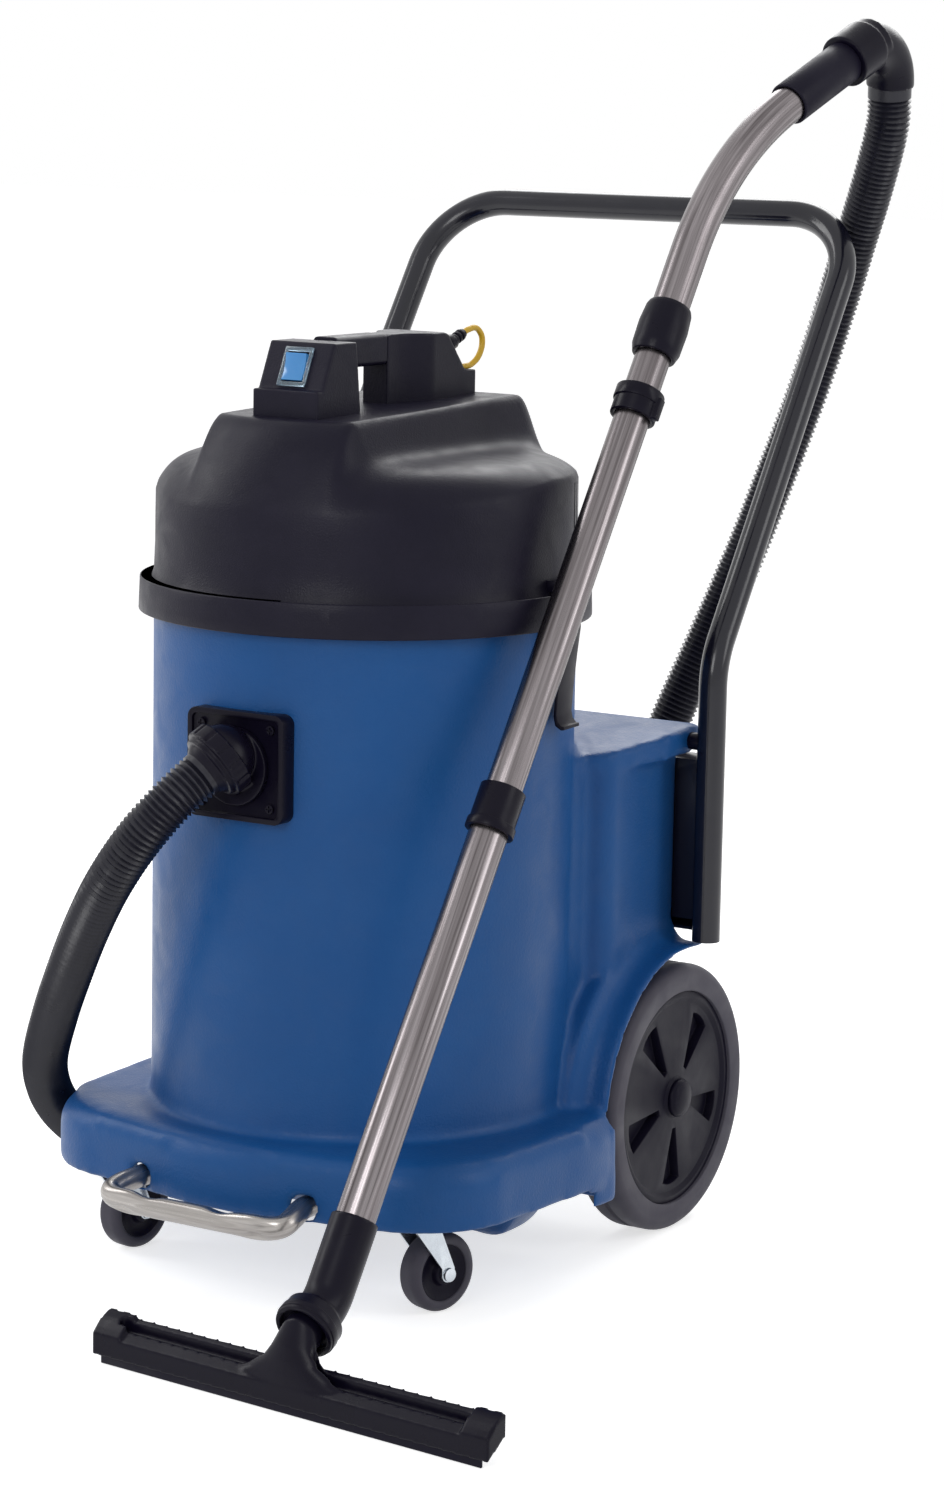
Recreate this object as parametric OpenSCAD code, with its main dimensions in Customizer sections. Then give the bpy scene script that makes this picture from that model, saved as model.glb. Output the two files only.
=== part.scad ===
// Wheeled drum vacuum cleaner for wet and dry use: a blue moulded tank on two big
// wheels and two casters, a black motor head, a push handle, a bent steel wand with
// a floor tool, and a ribbed hose. Millimetres, +Z up, -Y to the front, +X to the
// side where the wand stands, floor at z = 0.

/* [Tank] */
// Outer radius of the drum
drum_r = 189; // [186:0.5:191]
// Wall thickness of the moulded tank
tank_wall = 6; // [5:0.5:7]
// Height of the drum's rim above the floor
rim_z = 600; // [592:1:608]
// Radius of the round deck around the drum
deck_r = 240; // [237:0.5:242]
// Height of the deck's top surface
deck_top = 143; // [140:1:147]
// Height of the deck's bottom edge
deck_bottom = 82; // [79:1:84]
// Rounding of the deck's top edge
deck_edge = 25; // [18:1:27]
// Underside of the sump below the drum
sump_z = 36; // [34:1:42]
// Half width of the box behind the drum
box_half = 195; // [192:0.5:196]
// Height of the box behind the drum
box_top = 462; // [452:1:466]

/* [Big wheels] */
// Radius of the tyres
wheel_r = 125; // [122:0.5:127]
// Width of the tyres
wheel_w = 44; // [40:1:44]
// Radius of the wheel discs
disc_r = 100; // [96:1:104]
// Distance of the axle behind the drum's centre
axle_y = 208; // [206:0.5:210]
// Diameter of the axle
axle_d = 16; // [14:1:18]
// Half distance between the outer faces of the tyres
wheel_face = 219; // [218:0.5:220]

/* [Casters] */
// Radius of the caster tyres
caster_r = 35; // [33:0.5:36]
// Width of the caster tyres
caster_w = 24; // [20:1:24]
// Trail of the caster axle behind its swivel axis
caster_trail = 30; // [26:1:32]

/* [Push handle] */
// Outer diameter of the handle tube
bar_d = 26; // [24:0.5:28]
// Half distance between the handle legs
bar_half = 235; // [234:0.5:237]
// Height of the grip bar
bar_z = 932; // [910:1:950]
// Bend radius of the top corners
bar_bend = 75; // [65:1:90]

/* [Head] */
// Height of the ring at the base of the head
band_h = 30; // [28:1:32]
// How far the ring stands out from the drum
band_out = 13.6; // [12:0.1:14]
// Step in from the drum to the motor cover
cover_step = 1; // [0.5:0.1:2]
// Height of the ridge on the cover above the drum's rim
ridge_h = 168; // [160:1:175]
// Half width of the ridge
ridge_half = 61; // [56:1:66]

/* [Wand] */
// Diameter of the steel tubes
wand_d = 34; // [32:0.5:34.5]
// Lean of the wand from the vertical
wand_lean = 33.54; // [33.3:0.02:33.7]
// Bend of the upper tube
wand_bend = 31.4; // [29:0.2:33]
// Radius of that bend
wand_bend_r = 363; // [350:1:375]

/* [Floor tool] */
// Length of the floor tool
tool_l = 411; // [380:1:420]
// Depth of the floor tool
tool_w = 23; // [22:0.5:25]
// Height of the floor tool's front edge
tool_h = 22.5; // [21.5:0.5:25]
// Rise of the floor tool's top and sole towards its rear
tool_rise = 16; // [14:0.5:18]

/* [Hose] */
// Outer diameter of the hose
hose_d = 43; // [40:0.5:43]

/* [Hidden] */
$fn = 64;

// The model's origin lies under the middle of its box
shift = [-89.4, -25.1, 0];

blue = [0.15, 0.35, 0.58];
black = [0.12, 0.12, 0.15];
steel = [0.68, 0.66, 0.64];
zinc = [0.62, 0.68, 0.72];
grey = [0.33, 0.34, 0.37];
dark = [0.19, 0.17, 0.21];

// Deck plan: a big disc and two corner discs
deck_y = 11;
corner_x = 138;
corner_y = -112;
corner_r = 93;
tray_z = 110;
well_x = 168;
well_r = wheel_r + 17;
front_y = 67;
box_back = 230;
lip_half = 216;
axle_z = wheel_r;
axle_r = axle_d / 2;
hub_gap = 0.05;

caster_x = 162;
caster_y = -160;
caster_turn = [80, 73];

leg_y = 221;
leg_z0 = 274;
knee_z = 534;
bar_y = 488;
knee_bend = 80;
slope = atan2(bar_y - leg_y, bar_z - knee_z);
slope_l = norm([bar_y - leg_y, bar_z - knee_z]);
knee_t = knee_bend * tan(slope / 2);

band_r = drum_r + band_out;
cover_r = drum_r - cover_step;
band_z0 = rim_z - 15;
band_z1 = band_z0 + band_h;
cover_z0 = band_z1 - 3.3;
ridge_z = rim_z + ridge_h;

latch_az = 5;
pin_r = cover_r + 8;
pin_z = band_z1 + 6.5;

foot = [223.5, -378.8, 80];
wand_yaw = -0.33;
tube_r = wand_d / 2;
bore_r = tube_r - 1.5;
lower_end = 440;
upper_end = 900;
bend_s = 992;
bend_turn = 72;
grip_l = 89;
elbow_r = 46;
elbow_angle = 104;
cuff_bend = 31;
cuff_bend_s = 10;
cuff_bend_r = 45;
ring_lean = wand_lean + cuff_bend;
// Offset leaned back about X and turned about Z
function leaned(p, lean) =
  let (y = p[1] * cos(lean) + p[2] * sin(lean), z = p[2] * cos(lean) - p[1] * sin(lean))
  [p[0] * cos(wand_yaw) - y * sin(wand_yaw), p[0] * sin(wand_yaw) + y * cos(wand_yaw), z];
cuff_end = foot + leaned([0, -cuff_bend_r * (1 - cos(cuff_bend)),
  cuff_bend_s - cuff_bend_r * sin(cuff_bend)], wand_lean);
ring_c = cuff_end - leaned([0, 0, 13.4], ring_lean);

tool_mid = [220, -435, 0];
tool_turn = -5;
sole_z = 6;
tool_slope = atan(tool_rise / tool_w);
blade_w = 2.4;
blade_y = [2, tool_w - 3.8];
hose_r = hose_d / 2;

// Route of the hose, from the wand's elbow to the inlet
hose_route = [[264, 481, 1055], [258, 490, 1016],
  [238, 504, 962], [215, 516, 905], [192, 522, 838], [171, 516, 765],
  [150, 498, 686], [129, 474, 604], [103, 452, 522], [75, 433, 441],
  [50, 420, 362], [28, 417, 274], [4, 423, 186], [-24, 438, 110],
  [-64, 456, 54], [-118, 466, 27], [-182, 454, 23], [-244, 416, 23],
  [-296, 358, 23], [-330, 288, 23], [-344, 208, 23], [-341, 128, 25], [-328, 54, 36],
  [-310, -8, 60], [-289, -66, 92], [-266, -116, 128], [-238, -158, 169],
  [-195, -198, 224], [-154, -229, 276], [-119, -251, 322], [-84, -266, 368],
  [-52, -266, 411], [-26, -251, 446], [-8, -226, 471]];

// Straight round bar between two points
module rod(a, b, r) {
  v = b - a;
  translate(a)
    rotate([0, acos(v[2] / norm(v)), atan2(v[1], v[0])])
      cylinder(h = norm(v), r = r);
}

// Catmull-Rom point between p1 and p2
function cr(p0, p1, p2, p3, t) =
  0.5 * (2 * p1 + (p2 - p0) * t + (2 * p0 - 5 * p1 + 4 * p2 - p3) * t * t
         + (3 * p1 - p0 - 3 * p2 + p3) * t * t * t);
function spline(p, m) =
  let (n = len(p))
  [for (i = [0 : n - 2], k = [0 : m - 1])
     cr(i == 0 ? 2 * p[0] - p[1] : p[i - 1], p[i], p[i + 1],
        i == n - 2 ? 2 * p[n - 1] - p[n - 2] : p[i + 2], k / m),
   p[n - 1]];
function unit(v) = v / norm(v);
function tangents(p) =
  let (n = len(p))
  [for (i = [0 : n - 1]) unit(p[min(i + 1, n - 1)] - p[max(i - 1, 0)])];
function carried(t, i, u) =
  i >= len(t) ? [] :
  let (w = unit(u - (u * t[i]) * t[i]))
  concat([w], carried(t, i + 1, w));

// Round bar swept along points
module swept(p, r, sides) {
  t = tangents(p);
  u = carried(t, 0, [1, 0.2, 0.1]);
  n = len(p);
  pts = [for (i = [0 : n - 1]) each ring_at(p[i], t[i], u[i], r, sides)];
  side = [for (i = [0 : n - 2], k = [0 : sides - 1])
    let (a = i * sides + k, b = i * sides + (k + 1) % sides)
    [b, a, a + sides, b + sides]];
  first = [[for (k = [0 : sides - 1]) k]];
  last = [[for (k = [sides - 1 : -1 : 0]) (n - 1) * sides + k]];
  polyhedron(pts, concat(side, first, last), convexity = 10);
}
function ring_at(c, t, u, r, sides) =
  [for (k = [0 : sides - 1])
    c + r * (cos(360 * k / sides) * u + sin(360 * k / sides) * cross(t, u))];

// Hollow tube swept along points, with open ends
module swept_tube(p, r, r_in, sides) {
  t = tangents(p);
  u = carried(t, 0, [1, 0.2, 0.1]);
  n = len(p);
  m = n * sides;
  pts = concat([for (i = [0 : n - 1]) each ring_at(p[i], t[i], u[i], r, sides)],
    [for (i = [0 : n - 1]) each ring_at(p[i], t[i], u[i], r_in, sides)]);
  side = [for (i = [0 : n - 2], k = [0 : sides - 1], w = [0, 1])
    let (a = w * m + i * sides + k, b = w * m + i * sides + (k + 1) % sides)
    w == 0 ? [b, a, a + sides, b + sides] : [a, b, b + sides, a + sides]];
  ends = [for (i = [0, n - 1], k = [0 : sides - 1])
    let (a = i * sides + k, b = i * sides + (k + 1) % sides)
    i == 0 ? [a, b, b + m, a + m] : [b, a, a + m, b + m]];
  polyhedron(pts, concat(side, ends), convexity = 10);
}

module both_sides() {
  children();
  mirror([1, 0, 0]) children();
}

// Places a shape about the axle: its x runs back, its y up and its z along +X
module on_axle() {
  translate([0, axle_y, axle_z]) rotate([90, 0, 90]) children();
}

// ---- Tank ----

module deck_disc(x, y, r, z0, z1, e) {
  translate([x, y, 0])
    rotate_extrude($fn = 96)
      polygon(concat([[0, z0], [r, z0]],
        [for (a = [0 : 15 : 90]) [r - e + e * cos(a), z1 - e + e * sin(a)]],
        [[0, z1]]));
}

// Points where the straight sides meet the discs, set in by an amount
function on_disc(x, y, r, a) = [x + r * cos(a), y + r * sin(a)];
function deck_points(inset) =
  let (big = deck_r - inset, small = corner_r - inset,
       half = [on_disc(0, deck_y, big, -75),
         on_disc(corner_x, corner_y, small, -84),
         on_disc(corner_x, corner_y, small, -9),
         on_disc(0, deck_y, big, -1)])
  concat(half, [[0, deck_y + 60]], [for (i = [3 : -1 : 0]) [-half[i][0], half[i][1]]]);

module deck_form(inset, z0, z1, e) {
  deck_disc(0, deck_y, deck_r - inset, z0, z1, e);
  deck_disc(corner_x, corner_y, corner_r - inset, z0, z1, e);
  deck_disc(-corner_x, corner_y, corner_r - inset, z0, z1, e);
  for (a = [0 : 30 : 60])
    translate([0, 0, z0])
      linear_extrude(z1 - z0 - e + e * sin(a + 30))
        polygon(deck_points(inset + e * (1 - cos(a)) + 0.2));
}

// Plan of the box: round front corners
module box_shape(half, back, front, r) {
  translate([-half, front + r]) square([2 * half, back - front - r]);
  translate([-half + r, 60]) square([2 * (half - r), back - 60]);
  translate([half - r, front + r]) circle(r);
  translate([-half + r, front + r]) circle(r);
}

// Flared arch over one wheel, as a profile turned about the axle
module flare() {
  e = 15;
  on_axle()
    rotate([0, 0, 80])
      rotate_extrude(angle = 100, $fn = 96)
        polygon(concat([[well_r - 9, 150], [well_r - 9, 226], [well_r + 5, 226]],
          [for (a = [180 : 15 : 270])
            [well_r + 5 + e + e * cos(a), box_half + e + e * sin(a)]],
          [[well_r + 5 + e, 150]]));
}

// Everything cut away for one big wheel
module wheel_well() {
  on_axle() translate([0, 0, well_x]) cylinder(h = 90, r = well_r, $fn = 96);
  translate([well_x, front_y, -1]) cube([90, 240, axle_z + 1]);
  translate([well_x, axle_y, -1]) cube([90, 160, axle_z + 60]);
}

// Round sump that narrows downwards, so that the casters swing clear of it
module sump_form(inset) {
  e = 12;
  r = drum_r - 13 - inset;
  foot_r = r - 18;
  z0 = sump_z + inset;
  difference() {
    rotate_extrude($fn = 96)
      polygon(concat([[0, z0]],
        [for (a = [-90 : 10 : -40]) [foot_r - e + e * cos(a), z0 + e + e * sin(a)]],
        [[r, 2 * caster_r + 2], [r, tray_z + 1], [0, tray_z + 1]]));
    translate([-300, 175 - inset, -1]) cube([600, 100, 200]);
  }
}

module tank() {
  w = tank_wall;
  color(blue)
  difference() {
    union() {
      translate([0, 0, sump_z]) cylinder(h = rim_z - sump_z, r = drum_r, $fn = 96);
      intersection() {
        deck_form(0, deck_bottom, deck_top, deck_edge);
        translate([-300, -300, 0]) cube([600, 300 + box_back, 300]);
      }
      translate([-well_x, 100, deck_bottom]) cube([2 * well_x, box_back - 100, 62]);
      difference() {
        translate([0, 0, 120])
          linear_extrude(box_top - 100) box_shape(box_half, box_back, 105, 21);
        translate([-300, 100, box_top - 4]) rotate([6.5, 0, 0]) cube([600, 200, 60]);
        translate([-300, -60, box_top - 4]) cube([600, 161, 60]);
      }
      // Overhanging lip around the box top
      difference() {
        translate([0, 0, box_top - 18])
          linear_extrude(40)
            polygon([[-160, 90], [-184, 104], [-200, 140], [-211, 190],
              [-lip_half, 232], [-lip_half + 4, 239], [lip_half - 4, 239],
              [lip_half, 232], [211, 190], [200, 140], [184, 104], [160, 90]]);
        translate([-300, 100, box_top - 4]) rotate([6.5, 0, 0]) cube([600, 200, 60]);
        translate([-300, -60, box_top - 4]) cube([600, 161, 60]);
        translate([-300, 100, box_top - 28]) rotate([6.5, 0, 0])
          translate([0, -50, -60]) cube([600, 220, 60]);
      }
      both_sides() flare();
      both_sides()
        translate([224, 18, 61]) cube([13, front_y - 18, 30]);
      both_sides()
        translate([well_x - 8, front_y - 6, 61]) cube([76, 6, 70]);
    }
    // Drum chamber
    difference() {
      cylinder(h = 700, r = drum_r - w, $fn = 96);
      translate([-300, -300, -1]) cube([600, 600, deck_top + 2]);
    }
    // Tray below the deck, around the sump
    difference() {
      intersection() {
        deck_form(w, deck_bottom - 30, tray_z, 6);
        translate([-300, -300, 0]) cube([600, 300 + 180, 300]);
      }
      cylinder(h = 300, r = drum_r - 13, $fn = 96);
      both_sides()
        translate([caster_x, caster_y, 100]) cylinder(h = 20, r = 36);
      both_sides() translate([well_x - 8, front_y - w, 0]) cube([80, 60, 300]);
    }
    both_sides() wheel_well();
    // Bores for the axle, the inlet and the foot bar
    translate([-260, axle_y, axle_z]) rotate([0, 90, 0])
      cylinder(h = 520, r = axle_r);
    translate([0, -150, inlet_z]) rotate([90, 0, 0]) cylinder(h = 60, r = 22);
    both_sides()
      translate([87, -150, 96]) rotate([90, 0, 0])
        cylinder(h = 100, r = foot_bar_r + 0.7);
    both_sides()
      translate([160, leg_y, box_top - 3]) rotate([0, 90, 0]) cylinder(h = 80, r = 4);
    // Sump floor and hollow: cut the drum's lower part to the sump's shape
    difference() {
      translate([0, 0, sump_z - 1]) cylinder(h = tray_z - sump_z + 1, r = drum_r + 3);
      sump_form(0);
    }
    translate([0, 0, 0.001]) sump_form(w);
    translate([0, 0, tray_z]) cylinder(h = deck_top - tray_z + 3, r = drum_r - 13 - w);
  }
}

// ---- Inlet ----
inlet_z = 470;

module rounded_plate(x, z, r, h) {
  rotate([90, 0, 0]) linear_extrude(h) {
    square([x - 2 * r, z], center = true);
    square([x, z - 2 * r], center = true);
    for (i = [-1, 1], k = [-1, 1])
      translate([i * (x / 2 - r), k * (z / 2 - r)]) circle(r);
  }
}

module inlet_plate() {
  color(black)
  difference() {
    translate([0, -drum_r + 25, inlet_z]) rounded_plate(100, 95, 9, 36);
    cylinder(h = 700, r = drum_r, $fn = 96);
    translate([0, -drum_r - 8, inlet_z]) rounded_plate(90, 85, 5, 10);
    translate([0, -150, inlet_z]) rotate([90, 0, 0]) cylinder(h = 80, r = 22);
  }
}

module inlet_screws() {
  color(black)
  for (i = [-1, 1], k = [-1, 1])
    translate([i * 36, -drum_r - 8, inlet_z + k * 34]) rotate([90, 0, 0])
      difference() {
        cylinder(h = 2.5, r = 4);
        translate([-0.6, -3, 1.2]) cube([1.2, 6, 2]);
        translate([-3, -0.6, 1.2]) cube([6, 1.2, 2]);
      }
}

// Swivel elbow whose ring faces down along the hose
collar_c = [0, -drum_r - 27, inlet_z + 6];
module inlet_collar() {
  d = unit([-0.42, -0.7, -0.575]);
  end = [-8, -drum_r - 37, inlet_z + 1];
  color(black)
  difference() {
    union() {
      translate([0, -drum_r - 8, inlet_z]) rotate([90, 0, 0])
        cylinder(h = 6, r = 34);
      intersection() {
        translate(end - 14 * d) sphere(r = 29);
        translate([-60, -drum_r - 60, inlet_z - 60]) cube([120, 52, 120]);
      }
      intersection() {
        union() {
          rod(end - 20 * d, end - 5 * d, 33);
          rod(end - 6 * d, end, 29);
        }
        translate([-60, -drum_r - 70, inlet_z - 60]) cube([120, 62, 120]);
      }
    }
    for (k = [0 : 11])
      translate(end - 20 * d)
        rotate([0, acos(d[2]), atan2(d[1], d[0])])
          rotate([0, 0, 30 * k]) translate([31.5, -2, -1]) cube([4, 4, 14]);
  }
}

// ---- Push handle ----

// Half of the handle's centre line, from the right leg's foot to the top bar
function on_slope(x, l) = [x, leg_y + l * sin(slope), knee_z + l * cos(slope)];
function half_bar() =
  concat([[bar_half, leg_y, leg_z0]],
    [for (a = [0 : slope / 4 : slope + 0.01])
      [bar_half, leg_y + knee_bend * (1 - cos(a)), knee_z - knee_t + knee_bend * sin(a)]],
    [for (a = [0 : 15 : 90])
      on_slope(bar_half - bar_bend * (1 - cos(a)),
        slope_l - bar_bend * (1 - sin(a)))]);
function reversed(p) = [for (i = [len(p) - 1 : -1 : 0]) [-p[i][0], p[i][1], p[i][2]]];

module handle_frame() {
  h = half_bar();
  color(black)
  difference() {
    swept(concat(h, reversed(h)), bar_d / 2, 20);
    both_sides()
      translate([180, leg_y, box_top - 3]) rotate([0, 90, 0])
        cylinder(h = 55, r = 4);
  }
}

module handle_spacers() {
  color(black)
  both_sides()
    difference() {
      translate([lip_half - 2.2, leg_y, box_top - 3]) rotate([0, 90, 0])
        cylinder(h = 14, r = 8);
      translate([bar_half, leg_y, 400]) cylinder(h = 120, r = bar_d / 2);
      translate([190, leg_y, box_top - 3]) rotate([0, 90, 0])
        cylinder(h = 60, r = 4);
    }
}

module handle_bolts() {
  color(zinc)
  both_sides()
    translate([182, leg_y, box_top - 3]) rotate([0, 90, 0])
      cylinder(h = 53, r = 3.95);
}

module rear_panel() {
  half = bar_half - bar_d / 2 - 0.2;
  color(black)
  difference() {
    union() {
      translate([-half, 262, 278]) cube([2 * half, 3, 162]);
      translate([-half, box_back, 437]) cube([2 * half, 35, 3]);
      translate([-half, box_back + 8, 278]) cube([2 * half, 27, 3]);
      both_sides() translate([half - 3, box_back, 278]) cube([3, 35, 162]);
      both_sides() translate([160, box_back, 290]) cube([half - 160, 3, 150]);
    }
    both_sides()
      for (z = [300, 420])
        translate([175, box_back - 2, z]) rotate([-90, 0, 0]) cylinder(h = 8, r = 3);
  }
}

module rear_axle() {
  color(zinc)
  translate([-wheel_face + 7, axle_y, axle_z]) rotate([0, 90, 0])
    cylinder(h = 2 * (wheel_face - 7), r = axle_r);
}

// Bent tread bar at the front
foot_bar_r = 10;
foot_route = [[-87, -186, 96], [-87, -202, 96], [-87.5, -218, 95.7], [-92, -238, 93],
  [-91, -252, 89], [-76, -258, 86.5], [-40, -259, 86], [0, -259, 86], [40, -259, 86],
  [76, -258, 86.5], [91, -252, 89], [92, -238, 93], [87.5, -218, 95.7], [87, -202, 96],
  [87, -186, 96]];
module foot_bar() {
  color(steel) swept(spline(foot_route, 3), foot_bar_r, 14);
}

// ---- Casters ----

module at_caster(i) {
  translate([i == 0 ? -caster_x : caster_x, caster_y, 0])
    rotate([0, 0, caster_turn[i]]) children();
}

module caster_plates() {
  color(zinc)
  both_sides()
    difference() {
      translate([caster_x - 26, caster_y - 22, 97]) cube([52, 44, 3]);
      translate([caster_x, caster_y, 90]) cylinder(h = 12, r = 5 + hub_gap);
    }
}

module caster_bolts() {
  color(zinc)
  both_sides()
    for (i = [-1, 1], k = [-1, 1])
      translate([caster_x + i * 20, caster_y + k * 16, 95]) cylinder(h = 2, r = 3.4);
}

module caster_fork(i) {
  color(zinc)
  at_caster(i) {
    translate([0, 0, 84]) cylinder(h = 15, r = 5);
    translate([0, 0, 89]) cylinder(h = 7.7, r = 17);
    translate([0, 0, 86]) cylinder(h = 3.5, r = 21);
    for (s = [-1, 1])
      translate([0, s * 14.75 + 1.25, 0]) rotate([90, 0, 0])
        linear_extrude(2.5) {
          polygon([[-14, 88], [16, 88], [caster_trail + 7, caster_r + 5],
            [caster_trail + 7, caster_r], [caster_trail - 7, caster_r],
            [caster_trail - 7, caster_r + 6]]);
          translate([caster_trail, caster_r]) circle(7);
        }
    translate([caster_trail, 18, caster_r]) rotate([90, 0, 0]) cylinder(h = 36, r = 4);
    for (s = [-1, 1])
      translate([caster_trail, s * 17.5 + 1.5, caster_r]) rotate([90, 0, 0])
        cylinder(h = 3, r = 6);
  }
}

module about_caster_axle(i) {
  at_caster(i) translate([caster_trail, 0, caster_r]) rotate([90, 0, 0]) children();
}

module caster_wheel(i) {
  color(dark)
  about_caster_axle(i)
    difference() {
      rotate_extrude()
        polygon([[4 + hub_gap, -13], [10, -13], [12, -7], [20, -7], [25, -10],
          [25, 10], [20, 7], [12, 7], [10, 13], [4 + hub_gap, 13]]);
    }
}

module caster_tyre(i) {
  w = caster_w / 2;
  e = 7;
  color(grey)
  about_caster_axle(i)
    rotate_extrude()
      polygon(concat([[25, -w + 1.5]],
        [for (a = [-90 : 15 : 0]) [caster_r - e + e * cos(a), -w + e + e * sin(a)]],
        [for (a = [0 : 15 : 90]) [caster_r - e + e * cos(a), w - e + e * sin(a)]],
        [[25, w - 1.5]]));
}

// ---- Big wheels ----

module wheel_disc() {
  color(dark)
  on_axle()
    difference() {
      translate([0, 0, wheel_face - wheel_w / 2])
        rotate_extrude($fn = 96)
          polygon([[axle_r + hub_gap, -22], [24, -22], [26, -10], [84, -10],
            [90, -16], [disc_r, -16], [disc_r, 18], [94, 18], [90, 15],
            [20, 17.5], [18, 20], [axle_r + hub_gap, 20]]);
      for (k = [0 : 4])
        rotate([0, 0, 72 * k - 90])
          translate([0, 0, wheel_face - 16])
            linear_extrude(20)
              polygon([[30, -3], [80, -15], [82.5, -8], [83.5, 0], [82.5, 8],
                [80, 15], [30, 3]]);
    }
}

module tyre() {
  w = wheel_w / 2;
  e = 10;
  color(grey)
  on_axle()
    translate([0, 0, wheel_face - w])
      rotate_extrude($fn = 96)
        polygon(concat([[disc_r, -w + 3]],
          [for (a = [-90 : 15 : 0]) [wheel_r - e + e * cos(a), -w + e + e * sin(a)]],
          [[wheel_r, -2.5], [wheel_r - 2, -2], [wheel_r - 2, 2], [wheel_r, 2.5]],
          [for (a = [0 : 15 : 90]) [wheel_r - e + e * cos(a), w - e + e * sin(a)]],
          [[disc_r, w - 1]]));
}

module hub_cap() {
  color(dark)
  on_axle()
    translate([0, 0, wheel_face - 2])
      difference() {
        rotate_extrude()
          polygon([[0, 0], [18, 0], [18, 3], [15.5, 6.5], [10, 8.6], [0, 9.4]]);
        translate([0, 0, -1]) cylinder(h = 4, r = axle_r + 2);
      }
}

// ---- Wand ----

module along_wand(s) {
  translate(foot) rotate([-wand_lean, 0, wand_yaw]) translate([0, 0, s]) children();
}

// Places a shape on the grip end of the bent tube
module on_grip(s) {
  r = wand_bend_r;
  along_wand(bend_s) rotate([0, 0, bend_turn])
    translate([r - r * cos(wand_bend), 0, r * sin(wand_bend)])
      rotate([0, wand_bend, 0]) translate([0, 0, s]) children();
}

module ring_tube(h, r, r_in) {
  difference() {
    cylinder(h = h, r = r);
    translate([0, 0, -1]) cylinder(h = h + 2, r = r_in);
  }
}

module lower_tube() {
  color(steel) along_wand(16) ring_tube(lower_end - 16, tube_r, bore_r);
}

module middle_tube() {
  color(steel)
  along_wand(lower_end) ring_tube(upper_end - lower_end, tube_r - 1, bore_r - 1);
}

module bent_tube() {
  r = wand_bend_r;
  k = 10;
  bend = [for (i = [0 : k])
    [r - r * cos(wand_bend * i / k), 0, r * sin(wand_bend * i / k)]];
  end = bend[k];
  color(steel)
  along_wand(bend_s) rotate([0, 0, bend_turn])
    swept_tube(concat([[0, 0, upper_end - bend_s]], bend,
      [[end[0] + grip_l * sin(wand_bend), 0, end[2] + grip_l * cos(wand_bend)]]),
      tube_r, bore_r, 24);
}

module lower_collar() {
  color(black)
  along_wand(lower_end - 20)
    difference() {
      union() {
        cylinder(h = 40, r = tube_r + 3);
        cylinder(h = 8, r = tube_r + 4.5);
      }
      translate([0, 0, -1]) cylinder(h = 21, r = tube_r);
      translate([0, 0, 19]) cylinder(h = 22, r = tube_r - 1);
    }
}

module tube_clip() {
  color(black)
  along_wand(822)
    difference() {
      union() {
        cylinder(h = 26, r = tube_r + 3.5);
        translate([0, 0, 14]) cylinder(h = 12, r = tube_r + 5);
        translate([tube_r, -4, 0]) cube([8, 8, 20]);
      }
      translate([0, 0, -1]) cylinder(h = 40, r = tube_r - 1);
    }
}

module upper_collar() {
  color(black)
  along_wand(upper_end - 16)
    difference() {
      rotate_extrude()
        polygon([[0, 0], [tube_r + 2.5, 0], [tube_r + 5, 8], [tube_r + 5.5, 30],
          [tube_r + 4, 46], [tube_r + 2.5, 50], [0, 50]]);
      translate([0, 0, -1]) cylinder(h = 17, r = tube_r - 1);
      translate([0, 0, 16]) cylinder(h = 36, r = tube_r);
    }
}

module grip_sleeve() {
  color(black)
  on_grip(0) ring_tube(grip_l, tube_r + 3, tube_r);
}

// Swivel cuff and smooth elbow at the top of the hose
module wand_cuff() {
  e = elbow_r;
  color(black)
  on_grip(grip_l) {
    difference() {
      union() {
        cylinder(h = 36, r = 25);
        translate([0, 0, 35]) cylinder(h = 12, r = 23);
      }
      translate([0, 0, -1]) cylinder(h = 26, r = bore_r);
    }
    translate([0, 0, 24]) rotate([0, 0, 22]) translate([e, 0, 0])
      rotate([90, 0, 0]) rotate([0, 0, 180 - elbow_angle])
        rotate_extrude(angle = elbow_angle) translate([e, 0]) circle(hose_r + 1);
  }
}

// Cuff at the foot of the wand with the bend into the swivel
module tool_cuff() {
  color(black)
  difference() {
    union() {
      along_wand(cuff_bend_s) cylinder(h = 61, r = tube_r + 3);
      along_wand(cuff_bend_s) translate([0, -cuff_bend_r, 0])
        rotate([90, 0, -90])
          rotate([0, 0, 180])
            rotate_extrude(angle = cuff_bend) translate([cuff_bend_r, 0]) circle(20);
      on_ring(0.4) cylinder(h = 13, r = 21.3);
    }
    along_wand(16) cylinder(h = 60, r = tube_r);
  }
}

module on_ring(s) {
  translate(ring_c) rotate([-ring_lean, 0, wand_yaw]) translate([0, 0, s]) children();
}

// ---- Floor tool ----

module swivel_ring() {
  color(black)
  on_ring(0)
    difference() {
      union() {
        translate([0, 0, -9]) cylinder(h = 18, r = 26);
        translate([0, 0, -6]) cylinder(h = 7, r = 27);
      }
      cylinder(h = 10, r = 21.3 + hub_gap);
      translate([0, 0, -10]) cylinder(h = 7, r = 22);
    }
}

module in_tool() {
  translate(tool_mid) rotate([0, 0, tool_turn]) children();
}

module long_slot(x0, x1, y, r, z0, z1) {
  translate([0, 0, z0]) {
    translate([x0 + r, y - r, 0]) cube([x1 - x0 - 2 * r, 2 * r, z1 - z0]);
    translate([x0 + r, y, 0]) cylinder(h = z1 - z0, r = r);
    translate([x1 - r, y, 0]) cylinder(h = z1 - z0, r = r);
  }
}

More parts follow.
